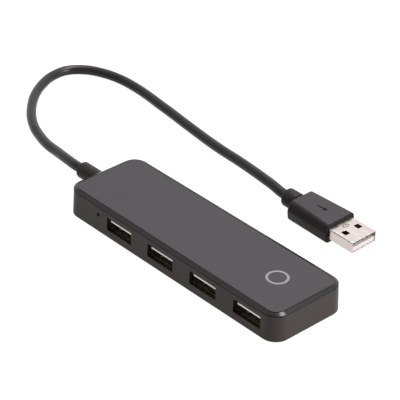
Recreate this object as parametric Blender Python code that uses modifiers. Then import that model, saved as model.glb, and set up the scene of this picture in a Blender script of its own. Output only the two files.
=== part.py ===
"""Slim four-port USB hub with a built-in cable that ends in a USB-A plug.

The frame: origin at the centre of the case's base, +X towards the plain end of the case, the four ports
face -Y, the cable leaves at the -X end, +Z is up. Everything is in metres.
"""
import math

import bmesh
import bpy
from mathutils import Matrix, Vector

MM = 0.001

# ---- case ------------------------------------------------------------------------------------------------
CASE_LENGTH = 108.6 * MM
CASE_WIDTH = 32.8 * MM
CASE_HEIGHT = 11.2 * MM
CORNER_RADIUS = 5.4 * MM
CORNER_STEPS = 7
BASE_FLARE = 0.4 * MM
BASE_ROUNDING = 0.4 * MM
WALL = 1.5 * MM
FLOOR = 1.0 * MM
WALL_TOP = 9.95 * MM
SEAM = 0.3 * MM
COVER_SIDE = 0.25 * MM
COVER_BEVEL = 1.25 * MM
LIP_HEIGHT = 0.7 * MM
LIP_THICKNESS = 1.0 * MM
LIP_GAP = 0.15 * MM
POST_RADIUS = 1.2 * MM
POST_TOP = 9.7 * MM

COVER_BOTTOM = WALL_TOP + SEAM
INNER_X = CASE_LENGTH / 2 - WALL
INNER_Y = CASE_WIDTH / 2 - WALL
INNER_RADIUS = CORNER_RADIUS - WALL

# ---- ports -----------------------------------------------------------------------------------------------
PORT_COUNT = 4
PORT_PITCH = 22.0 * MM
PORT_FIRST_X = -25.35 * MM
PORT_Z = 5.6 * MM
PORT_INNER_WIDTH = 12.5 * MM
PORT_INNER_HEIGHT = 5.12 * MM
SHEET = 0.3 * MM
WINDOW_WIDTH = 13.3 * MM
WINDOW_HEIGHT = 5.1 * MM
WINDOW_LIP = 0.6 * MM
POCKET_GAP = 0.2 * MM
SHELL_REAR_Y = -2.4 * MM
LEG_LENGTH = 2.0 * MM
LEG_Y = -8.0 * MM
LEG_BOTTOM = 1.45 * MM
TONGUE_WIDTH = 11.1 * MM
TONGUE_BOTTOM = 5.85 * MM
TONGUE_TOP = 7.15 * MM
TONGUE_CHAMFER = 0.3 * MM
TONGUE_SETBACK = 1.0 * MM
TONGUE_LIP = 0.6 * MM
BLOCK_FRONT_Y = -5.8 * MM
BLOCK_REAR_Y = -2.2 * MM
CONTACT_WIDTH = 1.0 * MM
CONTACT_THICKNESS = 0.2 * MM
CONTACT_X = (-3.5 * MM, -1.0 * MM, 1.0 * MM, 3.5 * MM)
SLOT_WIDTH = 1.5 * MM
CONTACT_RUN = 5.8 * MM
SLOT_BELOW = 0.4 * MM
SLOT_ABOVE = 0.35 * MM

# The front wall leans out towards the base, so its face at port height stands a little forward of its top.
PORT_FACE_Y = -(CASE_WIDTH / 2 + BASE_FLARE * (WALL_TOP - PORT_Z) / WALL_TOP)
SHELL_FRONT_Y = PORT_FACE_Y + WINDOW_LIP + POCKET_GAP
TONGUE_FRONT_Y = PORT_FACE_Y + TONGUE_SETBACK

# ---- board and what is on it -----------------------------------------------------------------------------
BOARD_BOTTOM = 1.3 * MM
BOARD_TOP = 2.3 * MM
BOARD_LEFT = -47.5 * MM
BOARD_RIGHT = 52.3 * MM
BOARD_HALF_WIDTH = 14.5 * MM
BOARD_CLEARANCE = 0.3 * MM
POST_PLACES = ((-44.0 * MM, -11.0 * MM), (-44.0 * MM, 11.0 * MM),
               (49.5 * MM, -11.0 * MM), (49.5 * MM, 11.0 * MM))
PART_GAP = 0.2 * MM
CHIP_SIZE = (10.2 * MM, 5.3 * MM, 1.7 * MM)
CHIP_PLACE = (-4.0 * MM, 7.0 * MM)
CHIP_LEADS = 14
CHIP_LEAD_PITCH = 0.65 * MM
CRYSTAL_SIZE = (11.0 * MM, 4.6 * MM, 3.4 * MM)
CRYSTAL_PLACE = (14.0 * MM, 7.0 * MM)
CAPACITOR_RADIUS = 2.5 * MM
CAPACITOR_HEIGHT = 5.4 * MM
CAPACITOR_PLACES = ((-24.0 * MM, 7.0 * MM), (32.0 * MM, 7.0 * MM))
LED_X = -36.9 * MM
LED_Z = 7.0 * MM
LED_RADIUS = 1.5 * MM
LED_FRONT_Y = -14.6 * MM
LED_LENGTH = 4.4 * MM
LED_HOLE_RADIUS = 0.7 * MM
LED_LEAD_RADIUS = 0.25 * MM
LED_LEAD_SPACING = 1.27 * MM

# ---- cable -----------------------------------------------------------------------------------------------
CABLE_RADIUS = 1.95 * MM
CABLE_Z = 5.8 * MM
CABLE_POINTS = 78
END_GAP = 0.3 * MM
RELIEF_RADIUS = 3.25 * MM
RELIEF_NECK_RADIUS = 2.3 * MM
RELIEF_FLANGE_RADIUS = 3.6 * MM
RELIEF_TIP_X = -66.2 * MM
RELIEF_SHOULDER_X = -54.85 * MM
RELIEF_FLANGE_X = (-52.6 * MM, -51.0 * MM)
RELIEF_INNER_X = -49.4 * MM
RELIEF_ROUNDING = 0.8 * MM
NOTCH_RADIUS = 2.6 * MM
TURN_STEPS = 24
WIRE_RADIUS = 0.5 * MM
WIRES = (("wire_red", 0.8, 0.8, (0.55, 0.02, 0.02)), ("wire_white", 0.8, -0.8, (0.75, 0.74, 0.70)),
         ("wire_green", -0.8, 0.8, (0.03, 0.30, 0.08)), ("wire_black", -0.8, -0.8, (0.02, 0.02, 0.02)))
WIRE_PAD_X = -43.0 * MM
WIRE_PAD_PITCH = 2.6 * MM

# The cable's route in millimetres, from the strain relief's tip round the loop to the plug's tail.
CABLE_ROUTE = (
    (-66.2, 0.0, 5.8), (-70.3, 0.1, 5.6), (-77.1, 1.3, 4.8), (-84.6, 3.0, 3.6), (-92.1, 4.4, 2.7),
    (-99.2, 6.5, 2.15), (-106.6, 9.3, 1.98), (-113.9, 13.5, 1.96), (-120.5, 18.8, 1.96),
    (-126.4, 24.9, 1.96), (-131.0, 31.7, 1.96), (-134.3, 39.4, 1.96), (-134.4, 47.6, 1.96),
    (-129.6, 54.2, 1.96), (-122.1, 58.1, 1.96), (-113.8, 59.9, 1.96), (-105.3, 60.1, 1.96),
    (-96.9, 59.5, 1.96), (-88.4, 58.4, 1.96), (-80.0, 57.4, 1.96), (-71.5, 56.2, 1.98),
    (-62.9, 55.0, 2.06), (-54.5, 53.8, 2.25), (-46.0, 52.7, 2.6), (-37.7, 51.8, 3.1),
    (-29.3, 50.6, 3.65), (-21.5, 49.3, 4.15), (-13.7, 48.1, 4.4), (-9.3, 47.35, 4.3), (-4.8, 46.85, 4.25),
)

# ---- plug, in its own frame: origin at the centre of the shell's mouth, +X out of the mouth --------------
PLUG_PLACE = (34.7 * MM, 46.5 * MM, 4.25 * MM)
PLUG_YAW = -0.5
PLUG_ROLL = 1.5
PLUG_SHELL_WIDTH = 12.0 * MM
PLUG_SHELL_HEIGHT = 4.5 * MM
PLUG_SHELL_LENGTH = 18.4 * MM
PLUG_SHELL_ROUNDING = 0.4 * MM
PLUG_EXPOSED = 11.9 * MM
PLUG_WINDOW = (2.5 * MM, 2.2 * MM)
PLUG_WINDOW_X = -6.2 * MM
PLUG_WINDOW_Y = 3.15 * MM
PLUG_INSERT_WIDTH = 11.1 * MM
PLUG_INSERT_FRONT = -0.4 * MM
PLUG_INSERT_STEP_X = -12.4 * MM
PLUG_INSERT_REAR = -17.8 * MM
PLUG_CONTACT_FRONT = -1.8 * MM
PLUG_CONTACT_STAGGER = 0.9 * MM
PLUG_FIT = 0.15 * MM
PLUG_POCKET_GAP = 0.2 * MM
GRIP_HALF_WIDTH = 7.45 * MM
GRIP_HALF_HEIGHT = 4.0 * MM
GRIP_REAR_HALF_WIDTH = 7.1 * MM
GRIP_REAR_X = -32.3 * MM
GRIP_ROUNDING = 2.6 * MM
GRIP_END_ROUNDING = 0.8 * MM
TAIL_RADIUS = 3.6 * MM
TAIL_TIP_X = -39.5 * MM

MERGE = 0.00001
OVERCUT = 1.0 * MM


# ---- helpers ---------------------------------------------------------------------------------------------
def remove_scene_objects():
    for obj in list(bpy.data.objects):
        bpy.data.objects.remove(obj, do_unlink=True)


def new_collection(name):
    collection = bpy.data.collections.new(name)
    bpy.context.scene.collection.children.link(collection)
    return collection


def make_material(name, color, roughness, metallic=0.0):
    material = bpy.data.materials.new(name)
    material.use_nodes = True
    shader = material.node_tree.nodes["Principled BSDF"]
    shader.inputs["Base Color"].default_value = (*color, 1.0)
    shader.inputs["Roughness"].default_value = roughness
    shader.inputs["Metallic"].default_value = metallic
    material.diffuse_color = (*color, 1.0)
    return material


def make_object(name, bm, material=None):
    """Turn a bmesh into an object: a part if it has a material, otherwise a hidden tool for Booleans."""
    mesh = bpy.data.meshes.new(name)
    bmesh.ops.recalc_face_normals(bm, faces=bm.faces)
    bm.to_mesh(mesh)
    bm.free()
    obj = bpy.data.objects.new(name, mesh)
    if material is None:
        tools.objects.link(obj)
        obj.hide_render = True
        obj.display_type = "WIRE"
    else:
        parts.objects.link(obj)
        mesh.materials.append(material)
    return obj


def boolean(target, tool, operation="DIFFERENCE"):
    modifier = target.modifiers.new(tool.name, "BOOLEAN")
    modifier.operation = operation
    modifier.object = tool
    modifier.solver = "EXACT"


def box_into(bm, low, high):
    """Add a box between two opposite corners to a bmesh and return its vertices."""
    size = [high[i] - low[i] for i in range(3)]
    centre = [(high[i] + low[i]) / 2 for i in range(3)]
    matrix = Matrix.Translation(centre) @ Matrix.Diagonal((*size, 1.0))
    return bmesh.ops.create_cube(bm, size=1.0, matrix=matrix)["verts"]


def box(name, low, high, material=None):
    bm = bmesh.new()
    box_into(bm, low, high)
    return make_object(name, bm, material)


def bevel(bm, edges, offset, steps):
    bmesh.ops.bevel(bm, geom=edges, offset=offset, offset_type="OFFSET", segments=steps, profile=0.5,
                    affect="EDGES", clamp_overlap=True)


def edges_along(bm, axis):
    """The straight edges that run mostly along one axis (0, 1 or 2)."""
    chosen = []
    for edge in bm.edges:
        run = edge.verts[1].co - edge.verts[0].co
        if abs(run[axis]) > 0.9 * run.length:
            chosen.append(edge)
    return chosen


def rim_edges(bm, axis, value):
    """The edges that lie in the plane where the given axis has the given value."""
    tolerance = 0.01 * MM
    return [edge for edge in bm.edges if all(abs(v.co[axis] - value) < tolerance for v in edge.verts)]


def rounded_block(name, half_x, half_y, z_low, z_high, radius, material=None):
    """An upright block whose four vertical edges are rounded."""
    bm = bmesh.new()
    box_into(bm, (-half_x, -half_y, z_low), (half_x, half_y, z_high))
    bevel(bm, edges_along(bm, 2), radius, CORNER_STEPS)
    return make_object(name, bm, material)


def turned(name, profile, material=None, steps=TURN_STEPS):
    """A solid of revolution about local Z: profile is (radius, height), from the axis top to its foot."""
    bm = bmesh.new()
    points = [bm.verts.new((radius, 0.0, height)) for radius, height in profile]
    for first, second in zip(points, points[1:]):
        bm.edges.new((first, second))
    obj = make_object(name, bm, material)
    screw = obj.modifiers.new("Turn", "SCREW")
    screw.axis = "Z"
    screw.steps = steps
    screw.render_steps = steps
    screw.use_merge_vertices = True
    screw.merge_threshold = MERGE
    return obj


def arc(centre_radius, centre_height, radius, start, stop, steps):
    """Profile points round an arc; angles in degrees, measured from straight out towards up."""
    angles = [math.radians(start + (stop - start) * i / steps) for i in range(steps + 1)]
    return [(centre_radius + radius * math.cos(a), centre_height + radius * math.sin(a)) for a in angles]


def strip_outline(path, thickness):
    """The closed outline of a thin strip bent along a path of 2D points."""
    left, right = [], []
    for i, point in enumerate(path):
        before = Vector(path[max(i - 1, 0)])
        after = Vector(path[min(i + 1, len(path) - 1)])
        here = Vector(point)
        first = (here - before).normalized() if i > 0 else (after - here).normalized()
        second = (after - here).normalized() if i < len(path) - 1 else first
        normal = Vector((-(first.y + second.y), first.x + second.x)).normalized()
        half = thickness / 2 / max(normal.dot(Vector((-first.y, first.x))), 0.5)
        left.append(here + normal * half)
        right.append(here - normal * half)
    return left + right[::-1]


def flat_strip(name, path, thickness, width, material):
    """A bent strip: the outline of its edge as a filled 2D curve, extruded to the strip's width."""
    curve = bpy.data.curves.new(name, "CURVE")
    curve.dimensions = "2D"
    curve.fill_mode = "BOTH"
    curve.extrude = width / 2
    outline = strip_outline(path, thickness)
    spline = curve.splines.new("POLY")
    spline.points.add(len(outline) - 1)
    for point, place in zip(spline.points, outline):
        point.co = (place.x, place.y, 0.0, 1.0)
    spline.use_cyclic_u = True
    obj = bpy.data.objects.new(name, curve)
    parts.objects.link(obj)
    curve.materials.append(material)
    return obj


def smooth_points(route, count):
    """Evenly spaced points on a smooth Catmull-Rom curve through the route's points."""
    padded = [route[0] + (route[0] - route[1])] + list(route) + [route[-1] + (route[-1] - route[-2])]
    fine = []
    substeps = 24
    for i in range(1, len(padded) - 2):
        a, b, c, d = padded[i - 1:i + 3]
        for k in range(substeps):
            t = k / substeps
            fine.append(0.5 * (2 * b + (c - a) * t + (2 * a - 5 * b + 4 * c - d) * t ** 2
                               + (3 * b - 3 * c + d - a) * t ** 3))
    fine.append(padded[-2])
    travelled = [0.0]
    for first, second in zip(fine, fine[1:]):
        travelled.append(travelled[-1] + (second - first).length)
    points = []
    k = 0
    for i in range(count):
        goal = travelled[-1] * i / (count - 1)
        while k < len(fine) - 2 and travelled[k + 1] < goal:
            k += 1
        part = (goal - travelled[k]) / (travelled[k + 1] - travelled[k])
        points.append(fine[k].lerp(fine[k + 1], min(part, 1.0)))
    return points


def tube(name, points, radius, material):
    """A round cord along a chain of points."""
    curve = bpy.data.curves.new(name, "CURVE")
    curve.dimensions = "3D"
    curve.bevel_depth = radius
    curve.bevel_resolution = 2
    curve.use_fill_caps = True
    spline = curve.splines.new("POLY")
    spline.points.add(len(points) - 1)
    for point, place in zip(spline.points, points):
        point.co = (*place, 1.0)
    obj = bpy.data.objects.new(name, curve)
    parts.objects.link(obj)
    curve.materials.append(material)
    return obj


# ---- case ------------------------------------------------------------------------------------------------
def case_body(material):
    """The outer block of the tray: it flares slightly towards a rounded base."""
    bm = bmesh.new()
    half_x = CASE_LENGTH / 2
    half_y = CASE_WIDTH / 2
    box_into(bm, (-half_x, -half_y, 0.0), (half_x, half_y, WALL_TOP))
    for vert in bm.verts:
        if vert.co.z < WALL_TOP / 2:
            vert.co.x += math.copysign(BASE_FLARE, vert.co.x)
            vert.co.y += math.copysign(BASE_FLARE, vert.co.y)
    bevel(bm, edges_along(bm, 2), CORNER_RADIUS, CORNER_STEPS)
    bevel(bm, rim_edges(bm, 2, 0.0), BASE_ROUNDING, 3)
    return make_object("bottom_case", bm, material)


def port_places():
    return [PORT_FIRST_X + PORT_PITCH * i for i in range(PORT_COUNT)]


def add_port_windows(case):
    """Each port has a window in the wall's face, and a wider pocket behind it for the shell's front."""
    half_pocket = PORT_INNER_WIDTH / 2 + SHEET + POCKET_GAP
    half_pocket_height = PORT_INNER_HEIGHT / 2 + SHEET + POCKET_GAP
    for i, x in enumerate(port_places(), 1):
        window = box(f"window_{i}",
                     (x - WINDOW_WIDTH / 2, PORT_FACE_Y - OVERCUT, PORT_Z - WINDOW_HEIGHT / 2),
                     (x + WINDOW_WIDTH / 2, PORT_FACE_Y + WALL, PORT_Z + WINDOW_HEIGHT / 2))
        pocket = box(f"pocket_{i}",
                     (x - half_pocket, PORT_FACE_Y + WINDOW_LIP, PORT_Z - half_pocket_height),
                     (x + half_pocket, -INNER_Y + OVERCUT, PORT_Z + half_pocket_height))
        boolean(case, window)
        boolean(case, pocket)


def add_led_hole(case):
    hole = turned("led_hole", [(0.0, WALL + OVERCUT), (LED_HOLE_RADIUS, WALL + OVERCUT),
                               (LED_HOLE_RADIUS, -OVERCUT), (0.0, -OVERCUT)], steps=16)
    hole.location = (LED_X, PORT_FACE_Y, LED_Z)
    hole.rotation_euler = (math.radians(-90), 0.0, 0.0)
    boolean(case, hole)


def add_cable_notch(case):
    """A U-shaped notch, open at the top of the end wall, that the strain relief's neck drops into."""
    outer = CASE_LENGTH / 2 + BASE_FLARE + OVERCUT
    inner = INNER_X - OVERCUT
    profile = [(0.0, outer), (NOTCH_RADIUS, outer), (NOTCH_RADIUS, inner), (0.0, inner)]
    round_end = turned("notch_round", profile)
    round_end.location = (0.0, 0.0, CABLE_Z)
    round_end.rotation_euler = (0.0, math.radians(-90), 0.0)
    upper = box("notch_upper", (-outer, -NOTCH_RADIUS, CABLE_Z), (-inner, NOTCH_RADIUS, CASE_HEIGHT))
    boolean(case, round_end)
    boolean(case, upper)


def add_posts(case):
    for i, (x, y) in enumerate(POST_PLACES, 1):
        post = turned(f"post_{i}", [(0.0, POST_TOP), (POST_RADIUS * 0.8, POST_TOP),
                                    (POST_RADIUS, POST_TOP - POST_RADIUS * 0.3), (POST_RADIUS, FLOOR / 2),
                                    (0.0, FLOOR / 2)], steps=12)
        post.location = (x, y, 0.0)
        boolean(case, post, "UNION")


def make_bottom_case(material):
    case = case_body(material)
    cavity = rounded_block("cavity", INNER_X, INNER_Y, FLOOR, CASE_HEIGHT, INNER_RADIUS)
    boolean(case, cavity)
    add_port_windows(case)
    add_led_hole(case)
    add_cable_notch(case)
    add_posts(case)


def make_top_cover(material):
    """The lid: a thin plate with a wide bevel, a locating lip and a tab that closes the cable notch."""
    bm = bmesh.new()
    half_x = CASE_LENGTH / 2
    half_y = CASE_WIDTH / 2
    side_top = COVER_BOTTOM + COVER_SIDE
    box_into(bm, (-half_x, -half_y, COVER_BOTTOM), (half_x, half_y, side_top))
    bevel(bm, edges_along(bm, 2), CORNER_RADIUS, CORNER_STEPS)
    top = max(bm.faces, key=lambda face: face.calc_center_median().z)
    bmesh.ops.inset_region(bm, faces=[top], thickness=COVER_BEVEL, depth=CASE_HEIGHT - side_top,
                           use_even_offset=True)
    cover = make_object("top_cover", bm, material)
    lip_outer = rounded_block("lip_outer", INNER_X - LIP_GAP, INNER_Y - LIP_GAP, COVER_BOTTOM - LIP_HEIGHT,
                              COVER_BOTTOM + COVER_SIDE / 2, INNER_RADIUS - LIP_GAP)
    inset = LIP_GAP + LIP_THICKNESS
    lip_inner = rounded_block("lip_inner", INNER_X - inset, INNER_Y - inset, COVER_BOTTOM - LIP_HEIGHT * 2,
                              COVER_BOTTOM, INNER_RADIUS - inset)
    boolean(cover, lip_outer, "UNION")
    boolean(cover, lip_inner)
    tab_half = NOTCH_RADIUS - PART_GAP
    tab_bottom = CABLE_Z + RELIEF_NECK_RADIUS + END_GAP
    tab = box("notch_tab", (-half_x, -tab_half, tab_bottom),
              (-INNER_X + LIP_GAP, tab_half, COVER_BOTTOM + COVER_SIDE / 2))
    boolean(cover, tab, "UNION")


# ---- ports -----------------------------------------------------------------------------------------------
def sleeve(name, half_width, half_height, x_low, x_high, rounding, wall, material):
    """A folded-sheet tube of rectangular section along local X, open at both ends."""
    bm = bmesh.new()
    box_into(bm, (x_low, -half_width, -half_height), (x_high, half_width, half_height))
    bevel(bm, edges_along(bm, 0), rounding, 3)
    obj = make_object(name, bm, material)
    bore = bmesh.new()
    box_into(bore, (x_low - OVERCUT, -half_width + wall, -half_height + wall),
             (x_high + OVERCUT, half_width - wall, half_height - wall))
    bevel(bore, edges_along(bore, 0), max(rounding - wall, 0.1 * MM), 2)
    cutter = make_object(name + "_bore", bore)
    cutter.parent = obj
    boolean(obj, cutter)
    return obj


def turn_to_port(obj, x):
    """Stand an object built along local X in a port, with local +X pointing out of the case (-Y)."""
    obj.rotation_euler = (0.0, 0.0, math.radians(-90))
    obj.location = (x, 0.0, PORT_Z)


def make_port_shell(number, x, material):
    half_width = PORT_INNER_WIDTH / 2 + SHEET
    half_height = PORT_INNER_HEIGHT / 2 + SHEET
    shell = sleeve(f"port_{number}_shell", half_width, half_height, -SHELL_REAR_Y, -SHELL_FRONT_Y, 0.5 * MM,
                   SHEET, material)
    turn_to_port(shell, x)
    for side in (-1, 1):
        outer = x + side * half_width
        inner = x + side * (half_width - SHEET * 0.9)
        leg = box(f"leg_{number}_{side}", (min(outer, inner), LEG_Y - LEG_LENGTH / 2, LEG_BOTTOM),
                  (max(outer, inner), LEG_Y + LEG_LENGTH / 2, PORT_Z - half_height / 2))
        boolean(shell, leg, "UNION")


def make_port_insulator(number, x, material):
    """A back block that fills the shell's rear, and a tongue with grooves for the contacts."""
    half_width = PORT_INNER_WIDTH / 2 - PLUG_FIT
    half_height = PORT_INNER_HEIGHT / 2 - PLUG_FIT
    block = box(f"port_{number}_insulator", (x - half_width, BLOCK_FRONT_Y, PORT_Z - half_height),
                (x + half_width, BLOCK_REAR_Y, PORT_Z + half_height), material)
    bm = bmesh.new()
    box_into(bm, (x - TONGUE_WIDTH / 2, TONGUE_FRONT_Y, TONGUE_BOTTOM),
             (x + TONGUE_WIDTH / 2, BLOCK_FRONT_Y + OVERCUT, TONGUE_TOP))
    front = [edge for edge in rim_edges(bm, 1, TONGUE_FRONT_Y) if edge in edges_along(bm, 0)]
    bevel(bm, front, TONGUE_CHAMFER, 1)
    boolean(block, make_object(f"tongue_{number}", bm), "UNION")
    slots = bmesh.new()
    for offset in CONTACT_X:
        box_into(slots, (x + offset - SLOT_WIDTH / 2, TONGUE_FRONT_Y + TONGUE_LIP, CONTACT_RUN - SLOT_BELOW),
                 (x + offset + SLOT_WIDTH / 2, BLOCK_REAR_Y + OVERCUT, CONTACT_RUN + SLOT_ABOVE))
    boolean(block, make_object(f"contact_slots_{number}", slots))


def port_contact_path():
    """The side view of a contact spring: free tip, contact bump, run through the block, solder tail."""
    run = CONTACT_RUN
    tip = TONGUE_FRONT_Y + TONGUE_LIP + 0.3 * MM
    tail_y = BLOCK_REAR_Y + 0.7 * MM
    return [(tip, run + 0.05 * MM), (tip + 1.6 * MM, run - 0.05 * MM), (tip + 2.8 * MM, run - 0.35 * MM),
            (tip + 4.4 * MM, run), (tail_y, run), (tail_y, BOARD_TOP + PART_GAP)]


def make_port_contacts(number, x, material):
    for i, offset in enumerate(CONTACT_X, 1):
        contact = flat_strip(f"port_{number}_contact_{i}", port_contact_path(), CONTACT_THICKNESS,
                             CONTACT_WIDTH, material)
        contact.rotation_euler = (math.radians(90), 0.0, math.radians(90))
        contact.location = (x + offset, 0.0, 0.0)


# ---- board -----------------------------------------------------------------------------------------------
def make_circuit_board(material):
    bm = bmesh.new()
    box_into(bm, (BOARD_LEFT, -BOARD_HALF_WIDTH, BOARD_BOTTOM), (BOARD_RIGHT, BOARD_HALF_WIDTH, BOARD_TOP))
    right_corners = [edge for edge in edges_along(bm, 2) if edge.verts[0].co.x > 0]
    bevel(bm, right_corners, INNER_RADIUS, CORNER_STEPS)
    board = make_object("circuit_board", bm, material)
    for i, (x, y) in enumerate(POST_PLACES, 1):
        hole_radius = POST_RADIUS + BOARD_CLEARANCE
        hole = turned(f"board_hole_{i}", [(0.0, OVERCUT), (hole_radius, OVERCUT), (hole_radius, -OVERCUT),
                                          (0.0, -OVERCUT)], steps=16)
        hole.location = (x, y, (BOARD_BOTTOM + BOARD_TOP) / 2)
        boolean(board, hole)
    slots = bmesh.new()
    leg_outer = PORT_INNER_WIDTH / 2 + SHEET
    reach = LEG_LENGTH / 2 + BOARD_CLEARANCE
    for x in port_places():
        for side in (-1, 1):
            middle = x + side * (leg_outer - SHEET / 2)
            half = SHEET / 2 + BOARD_CLEARANCE
            box_into(slots, (middle - half, LEG_Y - reach, BOARD_BOTTOM - OVERCUT),
                     (middle + half, LEG_Y + reach, BOARD_TOP + OVERCUT))
    boolean(board, make_object("leg_slots", slots))


def make_hub_controller(material):
    """A small-outline chip: a moulded body with a row of gull-wing leads down each long side."""
    x, y = CHIP_PLACE
    length, width, height = CHIP_SIZE
    bottom = BOARD_TOP + PART_GAP * 1.5
    chip = box("hub_controller", (x - length / 2, y - width / 2, bottom),
               (x + length / 2, y + width / 2, bottom + height), material)
    leads = bmesh.new()
    lead_half = 0.14 * MM
    lead_reach = 1.1 * MM
    foot_height = 0.2 * MM
    for i in range(CHIP_LEADS):
        lead_x = x + (i - (CHIP_LEADS - 1) / 2) * CHIP_LEAD_PITCH
        for side in (-1, 1):
            edge = y + side * width / 2
            inner, outer = sorted((edge - side * 0.2 * MM, edge + side * lead_reach))
            box_into(leads, (lead_x - lead_half, inner, bottom + 0.1 * MM),
                     (lead_x + lead_half, outer, bottom + 0.1 * MM + foot_height))
    boolean(chip, make_object("chip_leads", leads), "UNION")


def make_crystal(material):
    x, y = CRYSTAL_PLACE
    length, width, height = CRYSTAL_SIZE
    bottom = BOARD_TOP + PART_GAP
    can = rounded_block("crystal", length / 2, width / 2, bottom, bottom + height, width / 2 - 0.1 * MM,
                        material)
    can.location = (x, y, 0.0)


def make_capacitors(material):
    height = CAPACITOR_HEIGHT
    radius = CAPACITOR_RADIUS
    crimp = 0.2 * MM
    for i, (x, y) in enumerate(CAPACITOR_PLACES, 1):
        profile = [(0.0, height), (radius - crimp, height), (radius, height - crimp), (radius, 1.6 * MM),
                   (radius - crimp, 1.3 * MM), (radius, 1.0 * MM), (radius, 0.0), (0.0, 0.0)]
        can = turned(f"bulk_capacitor_{i}", profile, material)
        can.location = (x, y, BOARD_TOP + PART_GAP)


def make_led(body_material, lead_material):
    """A small domed lamp lying behind its hole, on two bent leads."""
    dome = arc(0.0, LED_LENGTH - LED_RADIUS, LED_RADIUS, 90, 0, 6)
    flange = LED_RADIUS + 0.25 * MM
    profile = [(0.0, LED_LENGTH)] + dome[1:] + [(LED_RADIUS, 0.8 * MM), (flange, 0.8 * MM), (flange, 0.0),
                                                (0.0, 0.0)]
    led = turned("status_led", profile, body_material, steps=16)
    led.location = (LED_X, LED_FRONT_Y + LED_LENGTH, LED_Z)
    led.rotation_euler = (math.radians(90), 0.0, 0.0)
    rear = LED_FRONT_Y + LED_LENGTH + PART_GAP
    bend = 1.0 * MM
    for i, side in enumerate((-1, 1), 1):
        x = LED_X + side * LED_LEAD_SPACING / 2
        points = [Vector((x, rear, LED_Z)),
                  Vector((x, rear + bend * 0.6, LED_Z)),
                  Vector((x, rear + bend * 1.3, LED_Z - bend * 0.3)),
                  Vector((x, rear + bend * 1.6, LED_Z - bend)),
                  Vector((x, rear + bend * 1.6, BOARD_TOP + PART_GAP))]
        tube(f"led_lead_{i}", points, LED_LEAD_RADIUS, lead_material)


# ---- cable -----------------------------------------------------------------------------------------------
def make_cable_strain_relief(material):
    """A turned sleeve along -X: inner stub, flange behind the wall, neck in the notch, barrel outside."""
    tip = -RELIEF_TIP_X
    rounding = RELIEF_ROUNDING
    flange_outer, flange_inner = (-x for x in RELIEF_FLANGE_X)
    stub = RELIEF_NECK_RADIUS
    profile = [(0.0, tip)] + arc(RELIEF_RADIUS - rounding, tip - rounding, rounding, 90, 0, 3)
    profile += [(RELIEF_RADIUS, -RELIEF_SHOULDER_X), (RELIEF_NECK_RADIUS, -RELIEF_SHOULDER_X),
                (RELIEF_NECK_RADIUS, flange_outer), (RELIEF_FLANGE_RADIUS, flange_outer),
                (RELIEF_FLANGE_RADIUS, flange_inner), (stub, flange_inner), (stub, -RELIEF_INNER_X),
                (0.0, -RELIEF_INNER_X)]
    relief = turned("cable_strain_relief", profile, material)
    relief.location = (0.0, 0.0, CABLE_Z)
    relief.rotation_euler = (0.0, math.radians(-90), 0.0)


def make_cable(material):
    route = [Vector(point) * MM for point in CABLE_ROUTE]
    route[0] += (route[1] - route[0]).normalized() * END_GAP
    route[-1] += (route[-2] - route[-1]).normalized() * END_GAP
    tube("cable", smooth_points(route, CABLE_POINTS), CABLE_RADIUS, material)


def make_wires():
    """Four insulated cores that leave the strain relief and bend down to a row of pads on the board."""
    start_x = RELIEF_INNER_X + END_GAP
    for i, (name, side, level, color) in enumerate(WIRES):
        pad_y = (1.5 - i) * WIRE_PAD_PITCH
        start = Vector((start_x, side * MM, CABLE_Z + level * MM))
        end = Vector((WIRE_PAD_X, pad_y, BOARD_TOP + PART_GAP))
        route = [start, start + Vector((1.2 * MM, (pad_y - start.y) * 0.15, 0.0)),
                 Vector(((start.x + end.x) / 2, (start.y + pad_y) / 2, (start.z + end.z) / 2 + 0.6 * MM)),
                 end + Vector((-0.2 * MM, 0.0, 1.4 * MM)), end]
        tube(name, smooth_points(route, 12), WIRE_RADIUS, make_material(name, color, 0.45))


# ---- plug ------------------------------------------------------------------------------------------------
def make_plug_frame():
    """An empty at the mouth of the plug's shell; its pieces are children in its frame."""
    frame = bpy.data.objects.new("plug_frame", None)
    parts.objects.link(frame)
    frame.location = PLUG_PLACE
    frame.rotation_euler = (math.radians(PLUG_ROLL), 0.0, math.radians(PLUG_YAW))
    return frame


def make_plug_shell(frame, material):
    shell = sleeve("plug_shell", PLUG_SHELL_WIDTH / 2, PLUG_SHELL_HEIGHT / 2, -PLUG_SHELL_LENGTH, 0.0,
                   PLUG_SHELL_ROUNDING, SHEET, material)
    shell.parent = frame
    half_x, half_y = PLUG_WINDOW[0] / 2, PLUG_WINDOW[1] / 2
    windows = bmesh.new()
    for side in (-1, 1):
        y = side * PLUG_WINDOW_Y
        box_into(windows, (PLUG_WINDOW_X - half_x, y - half_y, -PLUG_SHELL_HEIGHT),
                 (PLUG_WINDOW_X + half_x, y + half_y, PLUG_SHELL_HEIGHT))
    cutter = make_object("plug_windows", windows)
    cutter.parent = frame
    boolean(shell, cutter)


def make_plug_insulator(frame, material):
    """The insert: a low tongue under the contacts and a full-height block at the rear."""
    half_width = PLUG_INSERT_WIDTH / 2
    half_height = PLUG_SHELL_HEIGHT / 2 - SHEET - PLUG_FIT
    insert = box("plug_insulator", (PLUG_INSERT_REAR, -half_width, -half_height),
                 (PLUG_INSERT_FRONT, half_width, -PLUG_FIT), material)
    insert.parent = frame
    block = box("insert_block", (PLUG_INSERT_REAR, -half_width, -half_height),
                (PLUG_INSERT_STEP_X, half_width, half_height))
    block.parent = frame
    boolean(insert, block, "UNION")


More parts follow.
